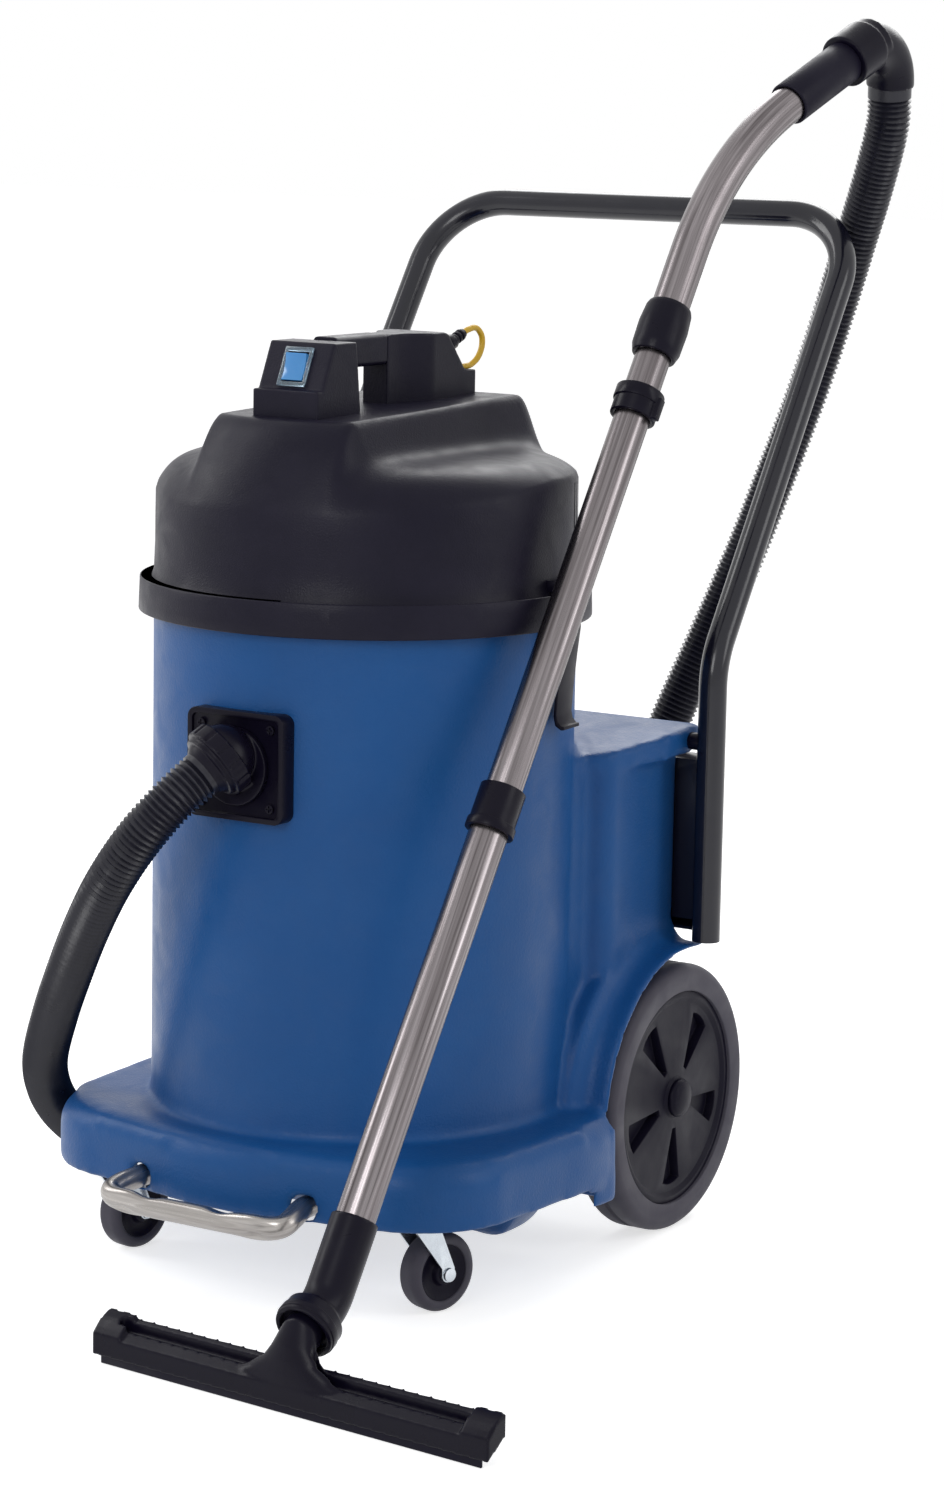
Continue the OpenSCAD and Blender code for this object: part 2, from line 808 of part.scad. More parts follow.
// Bar of the tool between two places along it, with a bulging top on the end caps
module tool_bar(x0, x1, lift, bulge) {
  translate([x0, 0, 0]) rotate([90, 0, 90]) linear_extrude(x1 - x0)
    polygon(concat([[tool_w, sole_z + tool_rise], [0, sole_z]],
      [for (t = [0 : 0.2 : 1])
        [t * tool_w, tool_h + lift + tool_rise * t + bulge * sin(180 * t)]]));
}

// Flat oval at a height, with its front edge a little behind the tool's front face
module oval(x, y0, y1, z) {
  r = (y1 - y0) / 2;
  translate([0, y0 + r, z]) scale([x / r, 1, 1]) cylinder(h = 1, r = r, $fn = 32);
}

module neck() {
  in_tool() {
    hull() {
      oval(76, 0, tool_w - 1, tool_h - 5);
      oval(46, 0.3, tool_w, tool_h + 8);
    }
    hull() {
      oval(46, 0.3, tool_w, tool_h + 8);
      oval(29, 1.5, tool_w, tool_h + 19);
    }
    hull() {
      oval(29, 1.5, tool_w, tool_h + 19);
      oval(20.5, 4, tool_w + 1, tool_h + 31);
    }
  }
  hull() {
    in_tool() oval(20.5, 4, tool_w + 1, tool_h + 31);
    on_ring(-14) cylinder(h = 1, r = 17, $fn = 32);
  }
  on_ring(-14) cylinder(h = 11, r = 17);
}

module tool_body() {
  h = tool_l / 2;
  color(black)
  difference() {
    union() {
      in_tool() {
        tool_bar(-h, h, 0, 0);
        tool_bar(-h, -h + 30, 2.5, 3);
        tool_bar(h - 28, h, 2.5, 3);
      }
      neck();
    }
    in_tool() {
      long_slot(-h + 20, -19, 14, 3.9, 26, 60);
      long_slot(19, h - 27, 14, 3.9, 26, 60);
      translate([-h + 14, 0, sole_z]) rotate([tool_slope, 0, 0])
        translate([0, 9, -1]) cube([2 * h - 28, 13, 6]);
      translate([-h + 8, blade_y[0], sole_z - 1]) cube([2 * h - 16, blade_w, 7]);
      translate([-h + 12, blade_y[1], 15]) cube([2 * h - 24, blade_w, 10]);
    }
  }
}

// The tool stands on its front blade
module front_blade() {
  h = tool_l / 2;
  color(black)
  in_tool() translate([-h + 8, blade_y[0], 0]) cube([2 * h - 16, blade_w, sole_z + 6]);
}

module rear_blade() {
  h = tool_l / 2;
  color(black)
  in_tool() translate([-h + 12, blade_y[1], 12.6]) cube([2 * h - 24, blade_w, 12.4]);
}

// ---- Head ----

function smooth(a, b, x) =
  let (t = max(0, min(1, (x - a) / (b - a))))
  t * t * (3 - 2 * t);

// Height of the edge where the cover's wall turns in, lower at the front
function wall_edge(x, y) =
  rim_z + 88 + 22 * max(0, min(1, (y / norm([x, y, 0.01]) + 0.8) / 0.9));

// Share of the ridge at a distance from the middle: flat on top, hollow at its foot
function ridge_side(x) = 1 / (1 + pow(max(0, (abs(x) - ridge_half + 5) / 16), 2.4));

// Height of the cover's upper surface
function cover_top(x, y) =
  let (d = max(0, cover_r - norm([x, y])),
       e = wall_edge(x, y),
       dome = e + (rim_z + 127 - e) * (1 - exp(-d / 16)),
       ridge = ridge_z + 4 * (y + 140) / 128 - 4,
       front = 1 - pow(1 - min(1, d / 44), 1.7),
       rear = 1 - smooth(140, 186, y),
       crest = y < 0 ? e + (ridge - e) * front : dome + (ridge - dome) * rear)
  dome + (crest - dome) * ridge_side(x);

function cover_row(r, n, drop) =
  [for (k = [0 : n - 1])
    let (x = r * cos(360 * k / n), y = r * sin(360 * k / n))
    [x, y, cover_top(x, y) - drop]];
function wall_row(r, n, up) =
  [for (k = [0 : n - 1])
    let (x = r * cos(360 * k / n), y = r * sin(360 * k / n))
    [x, y, up < 0 ? cover_z0 : wall_edge(x, y) + up]];

module motor_cover() {
  n = 80;
  w = 4;
  radii = [1, 5, 13, 26, 42, 60, 78, 92, 104, 116, 130, 150];
  top = [for (d = radii) cover_row(cover_r - d, n, 0)];
  under = [for (d = radii) cover_row(max(cover_r - w - d, 10), n, w)];
  rows = concat([wall_row(cover_r + 1, n, -1), wall_row(cover_r, n, -7),
      wall_row(cover_r, n, 0)], top);
  inner = concat([wall_row(cover_r + 1 - w, n, -1)], under);
  m = len(rows);
  q = len(inner);
  flat_in = [for (r = inner) each r];
  pts = concat([for (r = rows) each r], [[0, 0, cover_top(0, 0)]],
    flat_in, [[0, 0, cover_top(0, 0) - w]]);
  apex = m * n;
  b = apex + 1;
  last = b + q * n;
  faces = concat(
    [for (j = [0 : m - 2], k = [0 : n - 1], s = [0, 1])
      let (a = j * n + k, c = j * n + (k + 1) % n)
      s == 0 ? [a, a + n, c] : [c, a + n, c + n]],
    [for (k = [0 : n - 1])
      [(m - 1) * n + k, apex, (m - 1) * n + (k + 1) % n]],
    [for (j = [0 : q - 2], k = [0 : n - 1], s = [0, 1])
      let (a = b + j * n + k, c = b + j * n + (k + 1) % n)
      s == 0 ? [a, c, a + n] : [c, c + n, a + n]],
    [for (k = [0 : n - 1])
      [b + (q - 1) * n + k, b + (q - 1) * n + (k + 1) % n, last]],
    [for (k = [0 : n - 1], s = [0, 1])
      let (a = k, c = (k + 1) % n)
      s == 0 ? [a, c, b + a] : [c, b + c, b + a]]);
  color(black)
  difference() {
    polyhedron(pts, faces, convexity = 10);
    both_sides()
      for (a = [20, 23.5])
        rotate([0, 0, a]) translate([cover_r - 8, -1.8, rim_z + 66])
          cube([20, 3.6, 40]);
  }
}

module lid_band() {
  color(black)
  rotate_extrude($fn = 96)
    polygon([[drum_r + 0.4, band_z0], [band_r, band_z0], [band_r - 1, band_z1],
      [band_r - 3.2, band_z1], [band_r - 3.6, cover_z0], [cover_r - 12, cover_z0],
      [cover_r - 12, rim_z + 6], [drum_r + 0.4, rim_z + 6]]);
}

module lid_seal() {
  color(grey)
  translate([0, 0, rim_z]) rotate_extrude($fn = 96)
    translate([drum_r - tank_wall, 0]) square([tank_wall, 6]);
}

module motor_plate() {
  color(black)
  translate([0, 0, rim_z - 2])
    difference() {
      cylinder(h = 8, r = drum_r - tank_wall - 0.5, $fn = 96);
      translate([0, 0, -1]) cylinder(h = 10, r = 22);
    }
}

module motor(y) {
  color(steel)
  translate([0, y, rim_z + 6]) {
    cylinder(h = 45, r = 62);
    translate([0, 0, 45]) cylinder(h = 60, r = 45);
    translate([0, 0, 105]) cylinder(h = 20, r = 30);
  }
}

module float_cage() {
  color(black)
  translate([0, 0, rim_z - 100])
    difference() {
      cylinder(h = 98, r = 58);
      translate([0, 0, 4]) cylinder(h = 98, r = 54);
      translate([0, 0, -1]) cylinder(h = 10, r = 20);
      for (k = [0 : 7])
        rotate([0, 0, 45 * k]) translate([40, -12, 16]) cube([30, 24, 66]);
    }
}

module float_ball() {
  color([0.9, 0.9, 0.88])
  translate([0, 0, rim_z - 96 + sqrt(28 * 28 - 400) + 0.3]) sphere(r = 28);
}

// Handle on the head
module switch_housing() {
  z = ridge_z - 4;
  color(black)
  difference() {
    translate([-34, 0, 0]) rotate([90, 0, 90]) linear_extrude(68)
      polygon([[-130, z - 2], [-130, z + 24], [-122, z + 24], [-104, z + 64],
        [-70, z + 64], [-62, z - 2]]);
    on_switch() {
      translate([-11.5, -14, -9]) cube([23, 28, 20]);
      translate([-16, 0, -3]) rotate([0, 90, 0])
        cylinder(h = 32, r = 1.5 + hub_gap, $fn = 32);
    }
  }
}

// On the sloping face of the housing: x across, y up the slope, z outward
module on_switch() {
  translate([0, -113.5, ridge_z + 39]) rotate([atan2(40, 18), 0, 0]) children();
}

module switch_boot() {
  color([0.5, 0.55, 0.6])
  on_switch()
    difference() {
      translate([-14.5, -18, 0]) cube([29, 36, 2.5]);
      translate([-11.5, -14, -1]) cube([23, 28, 5]);
    }
}

module rocker_switch() {
  color([0.24, 0.5, 0.8])
  on_switch() translate([0, 0, -3]) rotate([7, 0, 0]) {
    translate([-10.5, 0, 0]) rotate([90, 0, 90]) linear_extrude(21)
      polygon([[-12, 0], [-12, 7], [-4, 5.2], [4, 5.2], [12, 7], [12, 0],
        [4, -3.2], [-4, -3.2]]);
    translate([-15, 0, 0]) rotate([0, 90, 0]) cylinder(h = 30, r = 1.5, $fn = 32);
  }
}

module grip_bar() {
  z = ridge_z - 4;
  color(black)
  difference() {
    translate([0, 10.2, 0]) rotate([90, 0, 0])
      linear_extrude(80) {
        translate([-13, z + 44]) square([26, 18]);
        translate([-8, z + 39]) square([16, 28]);
        translate([-8, z + 44]) circle(5);
        translate([8, z + 44]) circle(5);
        translate([-8, z + 62]) circle(5);
        translate([8, z + 62]) circle(5);
      }
    for (s = [-1, 1])
      translate([s * 13 - 0.8, -80, z + 54]) cube([1.6, 100, 1.4]);
  }
}

module rear_block() {
  z = ridge_z - 4;
  color(black)
  translate([-30, 0, 0]) rotate([90, 0, 90]) linear_extrude(60)
    polygon([[10, z], [10, z + 64], [16, z + 66], [78, z + 66], [84, z + 64],
      [112, z + 32], [120, z + 30], [131, z + 30], [131, z - 2]]);
}

// Ribbed strain relief on the block's rear slope
gland_base = [22, 96, 818];
gland_tip = [23, 118, 827];
module cable_gland() {
  d = gland_tip - gland_base;
  color(black)
  translate([0, 0, rim_z - 600 + ridge_h - 168])
  union() {
    rod(gland_base - 0.3 * d, gland_base + 0.25 * d, 7);
    for (k = [0.3 : 0.22 : 0.9])
      rod(gland_base + k * d, gland_base + (k + 0.12) * d, 5.5);
    rod(gland_base, gland_tip, 4.4);
  }
}

lead_route = [[23, 118, 827], [24, 126, 830], [25, 137, 831], [26, 145, 824],
  [26, 146, 814], [25, 141, 804], [24, 131, 798], [23, 122, 796.8], [22, 110, 796.8]];
module power_lead() {
  color([0.88, 0.69, 0.16])
  translate([0, 0, rim_z - 600 + ridge_h - 168]) swept(spline(lead_route, 3), 2.8, 8);
}

// ---- Latches ----

module latch_mounts() {
  color(black)
  both_sides()
    rotate([0, 0, latch_az]) {
      translate([pin_r, 18.5, pin_z]) rotate([90, 0, 0]) cylinder(h = 37, r = 2.5);
      for (y = [-18.5, 15.8])
        translate([0, y, 0]) {
          translate([cover_r - 2, 0, pin_z - 5]) cube([pin_r - cover_r + 2, 2.7, 10]);
          translate([pin_r, 2.7, pin_z]) rotate([90, 0, 0]) cylinder(h = 2.7, r = 5);
        }
    }
}

module latch() {
  z = band_z0;
  color(black)
  rotate([0, 0, latch_az])
    difference() {
      union() {
        translate([pin_r, 15.5, pin_z]) rotate([90, 0, 0]) cylinder(h = 31, r = 5.5);
        translate([0, 15.5, 0]) rotate([90, 0, 0]) linear_extrude(31)
          polygon([[pin_r + 3.2, pin_z + 3], [pin_r + 7, pin_z + 3.4],
            [band_r + 4.2, z + 28], [band_r + 3.8, z - 2], [band_r + 1, z - 25],
            [band_r - 2, z - 55], [band_r - 3.4, z - 76], [band_r - 2, z - 82],
            [band_r + 1.5, z - 86], [band_r + 4, z - 86], [band_r + 4.4, z - 89],
            [band_r + 1, z - 89.5], [band_r - 4.5, z - 86], [band_r - 6.4, z - 78],
            [band_r - 5, z - 55], [band_r - 2, z - 25], [band_r + 0.8, z - 2],
            [band_r + 0.8, z + band_h + 0.6], [pin_r + 3.2, pin_z - 3.5]]);
      }
      translate([pin_r, 20, pin_z]) rotate([90, 0, 0])
        cylinder(h = 40, r = 2.5 + hub_gap);
    }
}

module hose() {
  color(black) swept(spline(hose_route, 2), hose_r, 12);
}

module placed() {
  translate(shift) children();
}

placed() tank();
placed() inlet_plate();
placed() inlet_screws();
placed() inlet_collar();
placed() handle_frame();
placed() handle_bolts();
placed() handle_spacers();
placed() rear_panel();
placed() rear_axle();
placed() foot_bar();
placed() caster_plates();
placed() caster_bolts();
placed() lower_tube();
placed() middle_tube();
placed() bent_tube();
placed() lower_collar();
placed() tube_clip();
placed() upper_collar();
placed() grip_sleeve();
placed() wand_cuff();
placed() tool_cuff();
placed() hose();
placed() swivel_ring();
placed() tool_body();
placed() front_blade();
placed() rear_blade();
placed() motor_cover();
placed() lid_band();
placed() lid_seal();
placed() motor_plate();
placed() motor(-68);  // motor_front
placed() motor(66);  // motor_rear
placed() float_cage();
placed() float_ball();
placed() switch_housing();
placed() grip_bar();
placed() rear_block();
placed() switch_boot();
placed() cable_gland();
placed() power_lead();
placed() latch_mounts();
placed() rocker_switch();
placed() mirror([1, 0, 0]) latch();  // latch_left
placed() latch();  // latch_right
placed() mirror([1, 0, 0]) wheel_disc();  // wheel_disc_left
placed() mirror([1, 0, 0]) tyre();  // tyre_left
placed() mirror([1, 0, 0]) hub_cap();  // hub_cap_left
placed() wheel_disc();  // wheel_disc_right
placed() tyre();  // tyre_right
placed() hub_cap();  // hub_cap_right
placed() caster_fork(0);  // caster_fork_left
placed() caster_wheel(0);  // caster_wheel_left
placed() caster_tyre(0);  // caster_tyre_left
placed() caster_fork(1);  // caster_fork_right
placed() caster_wheel(1);  // caster_wheel_right
placed() caster_tyre(1);  // caster_tyre_right
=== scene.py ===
import math

import bmesh
import bpy
from mathutils import Matrix, Vector


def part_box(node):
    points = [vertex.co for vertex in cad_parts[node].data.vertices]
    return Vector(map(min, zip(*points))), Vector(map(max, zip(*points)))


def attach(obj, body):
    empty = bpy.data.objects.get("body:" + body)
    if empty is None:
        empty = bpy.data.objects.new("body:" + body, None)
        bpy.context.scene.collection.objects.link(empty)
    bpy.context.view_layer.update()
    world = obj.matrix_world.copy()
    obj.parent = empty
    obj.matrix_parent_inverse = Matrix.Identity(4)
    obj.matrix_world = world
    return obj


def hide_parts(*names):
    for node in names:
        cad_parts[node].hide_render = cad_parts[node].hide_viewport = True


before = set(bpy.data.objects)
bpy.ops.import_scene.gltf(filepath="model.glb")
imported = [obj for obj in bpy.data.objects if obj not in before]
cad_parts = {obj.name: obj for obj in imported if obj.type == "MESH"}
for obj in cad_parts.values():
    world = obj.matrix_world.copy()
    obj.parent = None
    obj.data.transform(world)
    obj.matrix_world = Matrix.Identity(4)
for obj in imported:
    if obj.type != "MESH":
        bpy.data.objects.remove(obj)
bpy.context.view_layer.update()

# ---- Studio ----
# A long lens looks slightly down on the machine from its front corner. The floor is a
# pale sweep, and big soft lamps stand to the left, the right, the front and the back.

band_low, band_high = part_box("lid_band")
drum_axis = (band_low + band_high) / 2
drum_axis.z = 0

frame_size = (944, 1500)
lens_pixels = 4000
axis_foot_pixel = (356.69, 1240.4)
axis_foot_distance = 3.6754
turn, dip, lean = (math.radians(angle) for angle in (32.03, 9.625, 1.077))

behind = Vector((math.sin(turn) * math.cos(dip), -math.cos(turn) * math.cos(dip), math.sin(dip)))
right = Vector((math.cos(turn), math.sin(turn), 0))
above = behind.cross(right)
across = math.cos(lean) * right + math.sin(lean) * above
upright = math.cos(lean) * above - math.sin(lean) * right
foot_x = (axis_foot_pixel[0] - frame_size[0] / 2) / lens_pixels * axis_foot_distance
foot_y = (frame_size[1] / 2 - axis_foot_pixel[1]) / lens_pixels * axis_foot_distance
eye = drum_axis - foot_x * across - foot_y * upright + axis_foot_distance * behind

camera_data = bpy.data.cameras.new("camera")
camera_data.sensor_width = 36
camera_data.lens = 36 * lens_pixels / frame_size[1]
camera_data.clip_end = 60
camera = bpy.data.objects.new("camera", camera_data)
camera.matrix_world = Matrix((
    (across.x, upright.x, behind.x, eye.x),
    (across.y, upright.y, behind.y, eye.y),
    (across.z, upright.z, behind.z, eye.z),
    (0, 0, 0, 1)))
bpy.context.scene.collection.objects.link(camera)
bpy.context.scene.camera = camera
bpy.context.scene.view_settings.view_transform = "Standard"


def new_object(name, mesh):
    obj = bpy.data.objects.new(name, mesh)
    bpy.context.scene.collection.objects.link(obj)
    return obj


def new_material(name, **sockets):
    """A material whose shader has these plain values on its own sockets."""
    material = bpy.data.materials.new(name)
    material.use_nodes = True
    shader = material.node_tree.nodes["Principled BSDF"]
    for socket, value in sockets.items():
        shader.inputs[socket.replace("_", " ")].default_value = value
    return material, material.node_tree, shader


def add_node(tree, kind, values=None, **settings):
    node = tree.nodes.new(kind)
    for key, value in settings.items():
        setattr(node, key, value)
    for socket, value in (values or {}).items():
        node.inputs[socket].default_value = value
    return node


def area_lamp(name, place, target, size, power):
    data = bpy.data.lights.new(name, "AREA")
    data.shape = "RECTANGLE"
    data.size, data.size_y = size
    data.energy = power
    lamp = bpy.data.objects.new(name, data)
    lamp.location = place
    lamp.rotation_mode = "QUATERNION"
    lamp.rotation_quaternion = (Vector(target) - Vector(place)).to_track_quat("-Z", "Y")
    bpy.context.scene.collection.objects.link(lamp)


area_lamp("lamp_left", (-2.6, -0.9, 2.0), (0, 0, 0.5), (1.0, 2.2), 30)
area_lamp("lamp_right", (2.7, 0.6, 1.7), (0, 0, 0.5), (0.8, 2.0), 14)
area_lamp("lamp_back", (-0.6, 2.4, 2.3), (0, 0, 0.6), (2.4, 1.4), 40)
area_lamp("lamp_front", (0.6, -3.4, 1.9), (0, 0, 0.5), (1.4, 1.4), 30)

world = bpy.data.worlds.new("studio")
world.use_nodes = True
bpy.context.scene.world = world
air = world.node_tree


def seen_strength(tree, unseen, bare):
    """Strength that rays from the lens, from a gloss and through glass see, and that
    other rays see."""
    rays = add_node(tree, "ShaderNodeLightPath")
    total = rays.outputs["Is Camera Ray"]
    for kind in ("Is Glossy Ray", "Is Transmission Ray"):
        both = add_node(tree, "ShaderNodeMath", operation="MAXIMUM")
        tree.links.new(total, both.inputs[0])
        tree.links.new(rays.outputs[kind], both.inputs[1])
        total = both.outputs[0]
    strength = add_node(tree, "ShaderNodeMapRange", {"To Min": unseen, "To Max": bare})
    tree.links.new(total, strength.inputs["Value"])
    return strength.outputs[0]


room_light, white_light = 0.42, 1.0
air.links.new(seen_strength(air, room_light, white_light),
              air.nodes["Background"].inputs["Strength"])
air.nodes["Background"].inputs["Color"].default_value = (1, 1, 1, 1)

floor_form = bmesh.new()
floor_half, floor_drop, floor_glow = 25, 0.0005, 0.66
bmesh.ops.create_grid(floor_form, x_segments=4, y_segments=4, size=floor_half)
floor_mesh = bpy.data.meshes.new("floor")
floor_form.to_mesh(floor_mesh)
floor_form.free()
floor = new_object("floor", floor_mesh)
floor.location.z = -floor_drop
floor_material, floor_tree, floor_shader = new_material(
    "floor_paper", Base_Color=(0.82, 0.82, 0.82, 1), Roughness=0.9)
floor_tree.links.new(seen_strength(floor_tree, 0.0, floor_glow),
                     floor_shader.inputs["Emission Strength"])
floor_shader.inputs["Emission Color"].default_value = (1, 1, 1, 1)
floor_mesh.materials.append(floor_material)


# ---- Hose ----
# The suction hose is a black corrugated plastic tube of about 42 mm. It runs from the
# elbow at the top of the wand down behind the machine, round its side and into the inlet.

hose_diameter = 0.0418
hose_rib = 0.005
hose_groove = 0.0027
hose_rib_rings = 4
hose_cuff_rings, hose_cuff_ease = 10, 0.0004
hose_route = (
    (0.264, 0.481, 1.055), (0.258, 0.490, 1.016), (0.238, 0.504, 0.962),
    (0.215, 0.516, 0.905), (0.192, 0.522, 0.838), (0.171, 0.516, 0.765),
    (0.150, 0.498, 0.686), (0.129, 0.474, 0.604), (0.103, 0.452, 0.522),
    (0.075, 0.433, 0.441), (0.050, 0.420, 0.362), (0.028, 0.417, 0.274),
    (0.004, 0.423, 0.186), (-0.024, 0.438, 0.110), (-0.064, 0.456, 0.054),
    (-0.118, 0.466, 0.027), (-0.182, 0.454, 0.023), (-0.244, 0.416, 0.023),
    (-0.296, 0.358, 0.023), (-0.330, 0.288, 0.023), (-0.344, 0.208, 0.023),
    (-0.341, 0.128, 0.025), (-0.328, 0.054, 0.036), (-0.310, -0.008, 0.060),
    (-0.289, -0.066, 0.092), (-0.266, -0.116, 0.128), (-0.238, -0.158, 0.169),
    (-0.195, -0.198, 0.224), (-0.154, -0.229, 0.276), (-0.119, -0.251, 0.322),
    (-0.084, -0.266, 0.368), (-0.052, -0.266, 0.411), (-0.026, -0.251, 0.446),
    (-0.008, -0.226, 0.471))


def through(points, steps):
    """A smooth run of points through the given ones."""
    points = [Vector(p) for p in points]
    padded = [2 * points[0] - points[1], *points, 2 * points[-1] - points[-2]]
    run = []
    for i in range(1, len(padded) - 2):
        p0, p1, p2, p3 = padded[i - 1:i + 3]
        for k in range(steps):
            t = k / steps
            run.append(0.5 * (2 * p1 + (p2 - p0) * t + (2 * p0 - 5 * p1 + 4 * p2 - p3) * t ** 2
                              + (3 * p1 - p0 - 3 * p2 + p3) * t ** 3))
    return run + [points[-1]]


def spaced(points, count):
    """The same run as count + 1 points at equal distances, and its length."""
    reach = [0]
    for a, b in zip(points, points[1:]):
        reach.append(reach[-1] + (b - a).length)
    run, i = [], 0
    for k in range(count + 1):
        wanted = reach[-1] * k / count
        while i < len(reach) - 2 and reach[i + 1] < wanted:
            i += 1
        share = (wanted - reach[i]) / (reach[i + 1] - reach[i])
        run.append(points[i].lerp(points[i + 1], min(share, 1)))
    return run, reach[-1]


def swept_tube(name, centres, radius, sides):
    """A tube along the centres, closed at both ends, whose radius may follow a rule of
    the ring's number and angle. Its own map runs along it in x and around it in y."""
    rings = len(centres) - 1
    form = bmesh.new()
    bmesh.ops.create_grid(form, x_segments=rings, y_segments=sides, size=1, calc_uvs=False)
    chart = form.loops.layers.uv.new("UVMap")
    for face in form.faces:
        for loop in face.loops:
            loop[chart].uv = ((loop.vert.co.x + 1) / 2, (loop.vert.co.y + 1) / 2)
    side = Vector((1, 0.2, 0.1))
    frames = []
    for i in range(rings + 1):
        ahead = (centres[min(i + 1, rings)] - centres[max(i - 1, 0)]).normalized()
        side = (side - side.dot(ahead) * ahead).normalized()
        frames.append((side.copy(), ahead.cross(side)))
    for vert in form.verts:
        i = round((vert.co.x + 1) / 2 * rings)
        angle = (vert.co.y + 1) * math.pi
        out, over = frames[i]
        r = radius(i, angle) if callable(radius) else radius
        vert.co = centres[i] + r * (math.cos(angle) * out + math.sin(angle) * over)
    bmesh.ops.remove_doubles(form, verts=form.verts, dist=1e-6)
    bmesh.ops.holes_fill(form, edges=[e for e in form.edges if e.is_boundary], sides=0)
    bmesh.ops.recalc_face_normals(form, faces=form.faces)
    mesh = bpy.data.meshes.new(name)
    form.to_mesh(mesh)
    form.free()
    mesh.shade_smooth()
    mesh.set_sharp_from_angle(angle=math.radians(50))
    return new_object(name, mesh)


def finish_piece(obj, body, material, node):
    """Gives the piece its material and its body, and hides the CAD part it replaces."""
    obj.data.materials.clear()
    obj.data.materials.append(material)
    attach(obj, body)
    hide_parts(node)


def shader_group(name, inputs, outputs):
    """An empty node group with these named sockets."""
    group = bpy.data.node_groups.new(name, "ShaderNodeTree")
    for socket, kind, value in inputs:
        made = group.interface.new_socket(socket, in_out="INPUT", socket_type=kind)
        made.default_value = value
    for socket, kind in outputs:
        group.interface.new_socket(socket, in_out="OUTPUT", socket_type=kind)
    return group, group.nodes.new("NodeGroupInput"), group.nodes.new("NodeGroupOutput")


# The skin of a moulded plastic: fine grain, slow mottling of its colour and faint smears.
skin, skin_in, skin_out = shader_group("moulded_skin", (
    ("Colour", "NodeSocketColor", (0.1, 0.1, 0.1, 1)),
    ("Worn Colour", "NodeSocketColor", (0.2, 0.2, 0.2, 1)),
    ("Mottle", "NodeSocketFloat", 0.3),
    ("Grain Size", "NodeSocketFloat", 700.0),
    ("Grain Depth", "NodeSocketFloat", 0.0002),
    ("Smoothest", "NodeSocketFloat", 0.3),
    ("Roughest", "NodeSocketFloat", 0.5)), (
    ("Colour", "NodeSocketColor"),
    ("Roughness", "NodeSocketFloat"),
    ("Normal", "NodeSocketVector")))
place = add_node(skin, "ShaderNodeTexCoord")
grain = add_node(skin, "ShaderNodeTexNoise", {"Detail": 2.0, "Roughness": 0.6})
mottle = add_node(skin, "ShaderNodeTexNoise", {"Scale": 9.0, "Detail": 6.0, "Roughness": 0.65})
smear = add_node(skin, "ShaderNodeTexNoise", {"Scale": 31.0, "Detail": 5.0, "Distortion": 0.8})
mottle_range = add_node(skin, "ShaderNodeMapRange", {"From Min": 0.42, "From Max": 0.72})
mottle_share = add_node(skin, "ShaderNodeMath", operation="MULTIPLY")
tint = add_node(skin, "ShaderNodeMix", data_type="RGBA")
smear_range = add_node(skin, "ShaderNodeMapRange", {"From Min": 0.3, "From Max": 0.7})
bump = add_node(skin, "ShaderNodeBump", {"Strength": 1.0})
for texture in (grain, mottle, smear):
    skin.links.new(place.outputs["Object"], texture.inputs["Vector"])
skin.links.new(skin_in.outputs["Grain Size"], grain.inputs["Scale"])
skin.links.new(mottle.outputs["Fac"], mottle_range.inputs["Value"])
skin.links.new(mottle_range.outputs[0], mottle_share.inputs[0])
skin.links.new(skin_in.outputs["Mottle"], mottle_share.inputs[1])
skin.links.new(mottle_share.outputs[0], tint.inputs["Factor"])
skin.links.new(skin_in.outputs["Colour"], tint.inputs["A"])
skin.links.new(skin_in.outputs["Worn Colour"], tint.inputs["B"])
skin.links.new(smear.outputs["Fac"], smear_range.inputs["Value"])
skin.links.new(skin_in.outputs["Smoothest"], smear_range.inputs["To Min"])
skin.links.new(skin_in.outputs["Roughest"], smear_range.inputs["To Max"])
skin.links.new(grain.outputs["Fac"], bump.inputs["Height"])
skin.links.new(skin_in.outputs["Grain Depth"], bump.inputs["Distance"])
skin.links.new(tint.outputs["Result"], skin_out.inputs["Colour"])
skin.links.new(smear_range.outputs[0], skin_out.inputs["Roughness"])
skin.links.new(bump.outputs[0], skin_out.inputs["Normal"])


def moulded_plastic(name, colour, worn, mottle, grain_size, grain_depth, smoothest, roughest,
                    **sockets):
    material, tree, shader = new_material(name, **sockets)
    surface = add_node(tree, "ShaderNodeGroup", node_tree=skin)
    for socket, value in (("Colour", (*colour, 1)), ("Worn Colour", (*worn, 1)),
                          ("Mottle", mottle), ("Grain Size", grain_size),
                          ("Grain Depth", grain_depth), ("Smoothest", smoothest),
                          ("Roughest", roughest)):
        surface.inputs[socket].default_value = value
    tree.links.new(surface.outputs["Colour"], shader.inputs["Base Color"])
    tree.links.new(surface.outputs["Roughness"], shader.inputs["Roughness"])
    tree.links.new(surface.outputs["Normal"], shader.inputs["Normal"])
    return material


hose_plastic = moulded_plastic("hose_plastic", (0.008, 0.008, 0.016), (0.018, 0.018, 0.03),
                               0.5, 500, 0.0001, 0.26, 0.4, Specular_IOR_Level=0.4)

hose_line = [drum_axis + p for p in through(hose_route, 8)]
hose_turns = round(spaced(hose_line, 1)[1] / hose_rib)
hose_rings = hose_turns * hose_rib_rings
hose_centres, hose_length = spaced(hose_line, hose_rings)


def hose_radius(ring, angle):
    """Four rings to a rib: a narrow crest and a wide groove. The ends are plain cuffs."""
    if ring < hose_cuff_rings or ring > hose_rings - hose_cuff_rings:
        return hose_diameter / 2 - hose_cuff_ease
    return hose_diameter / 2 - hose_groove * (0, 0.5, 1, 0.5)[ring % hose_rib_rings]


suction_hose = swept_tube("suction_hose", hose_centres, hose_radius, 28)
finish_piece(suction_hose, "machine", hose_plastic, "hose")


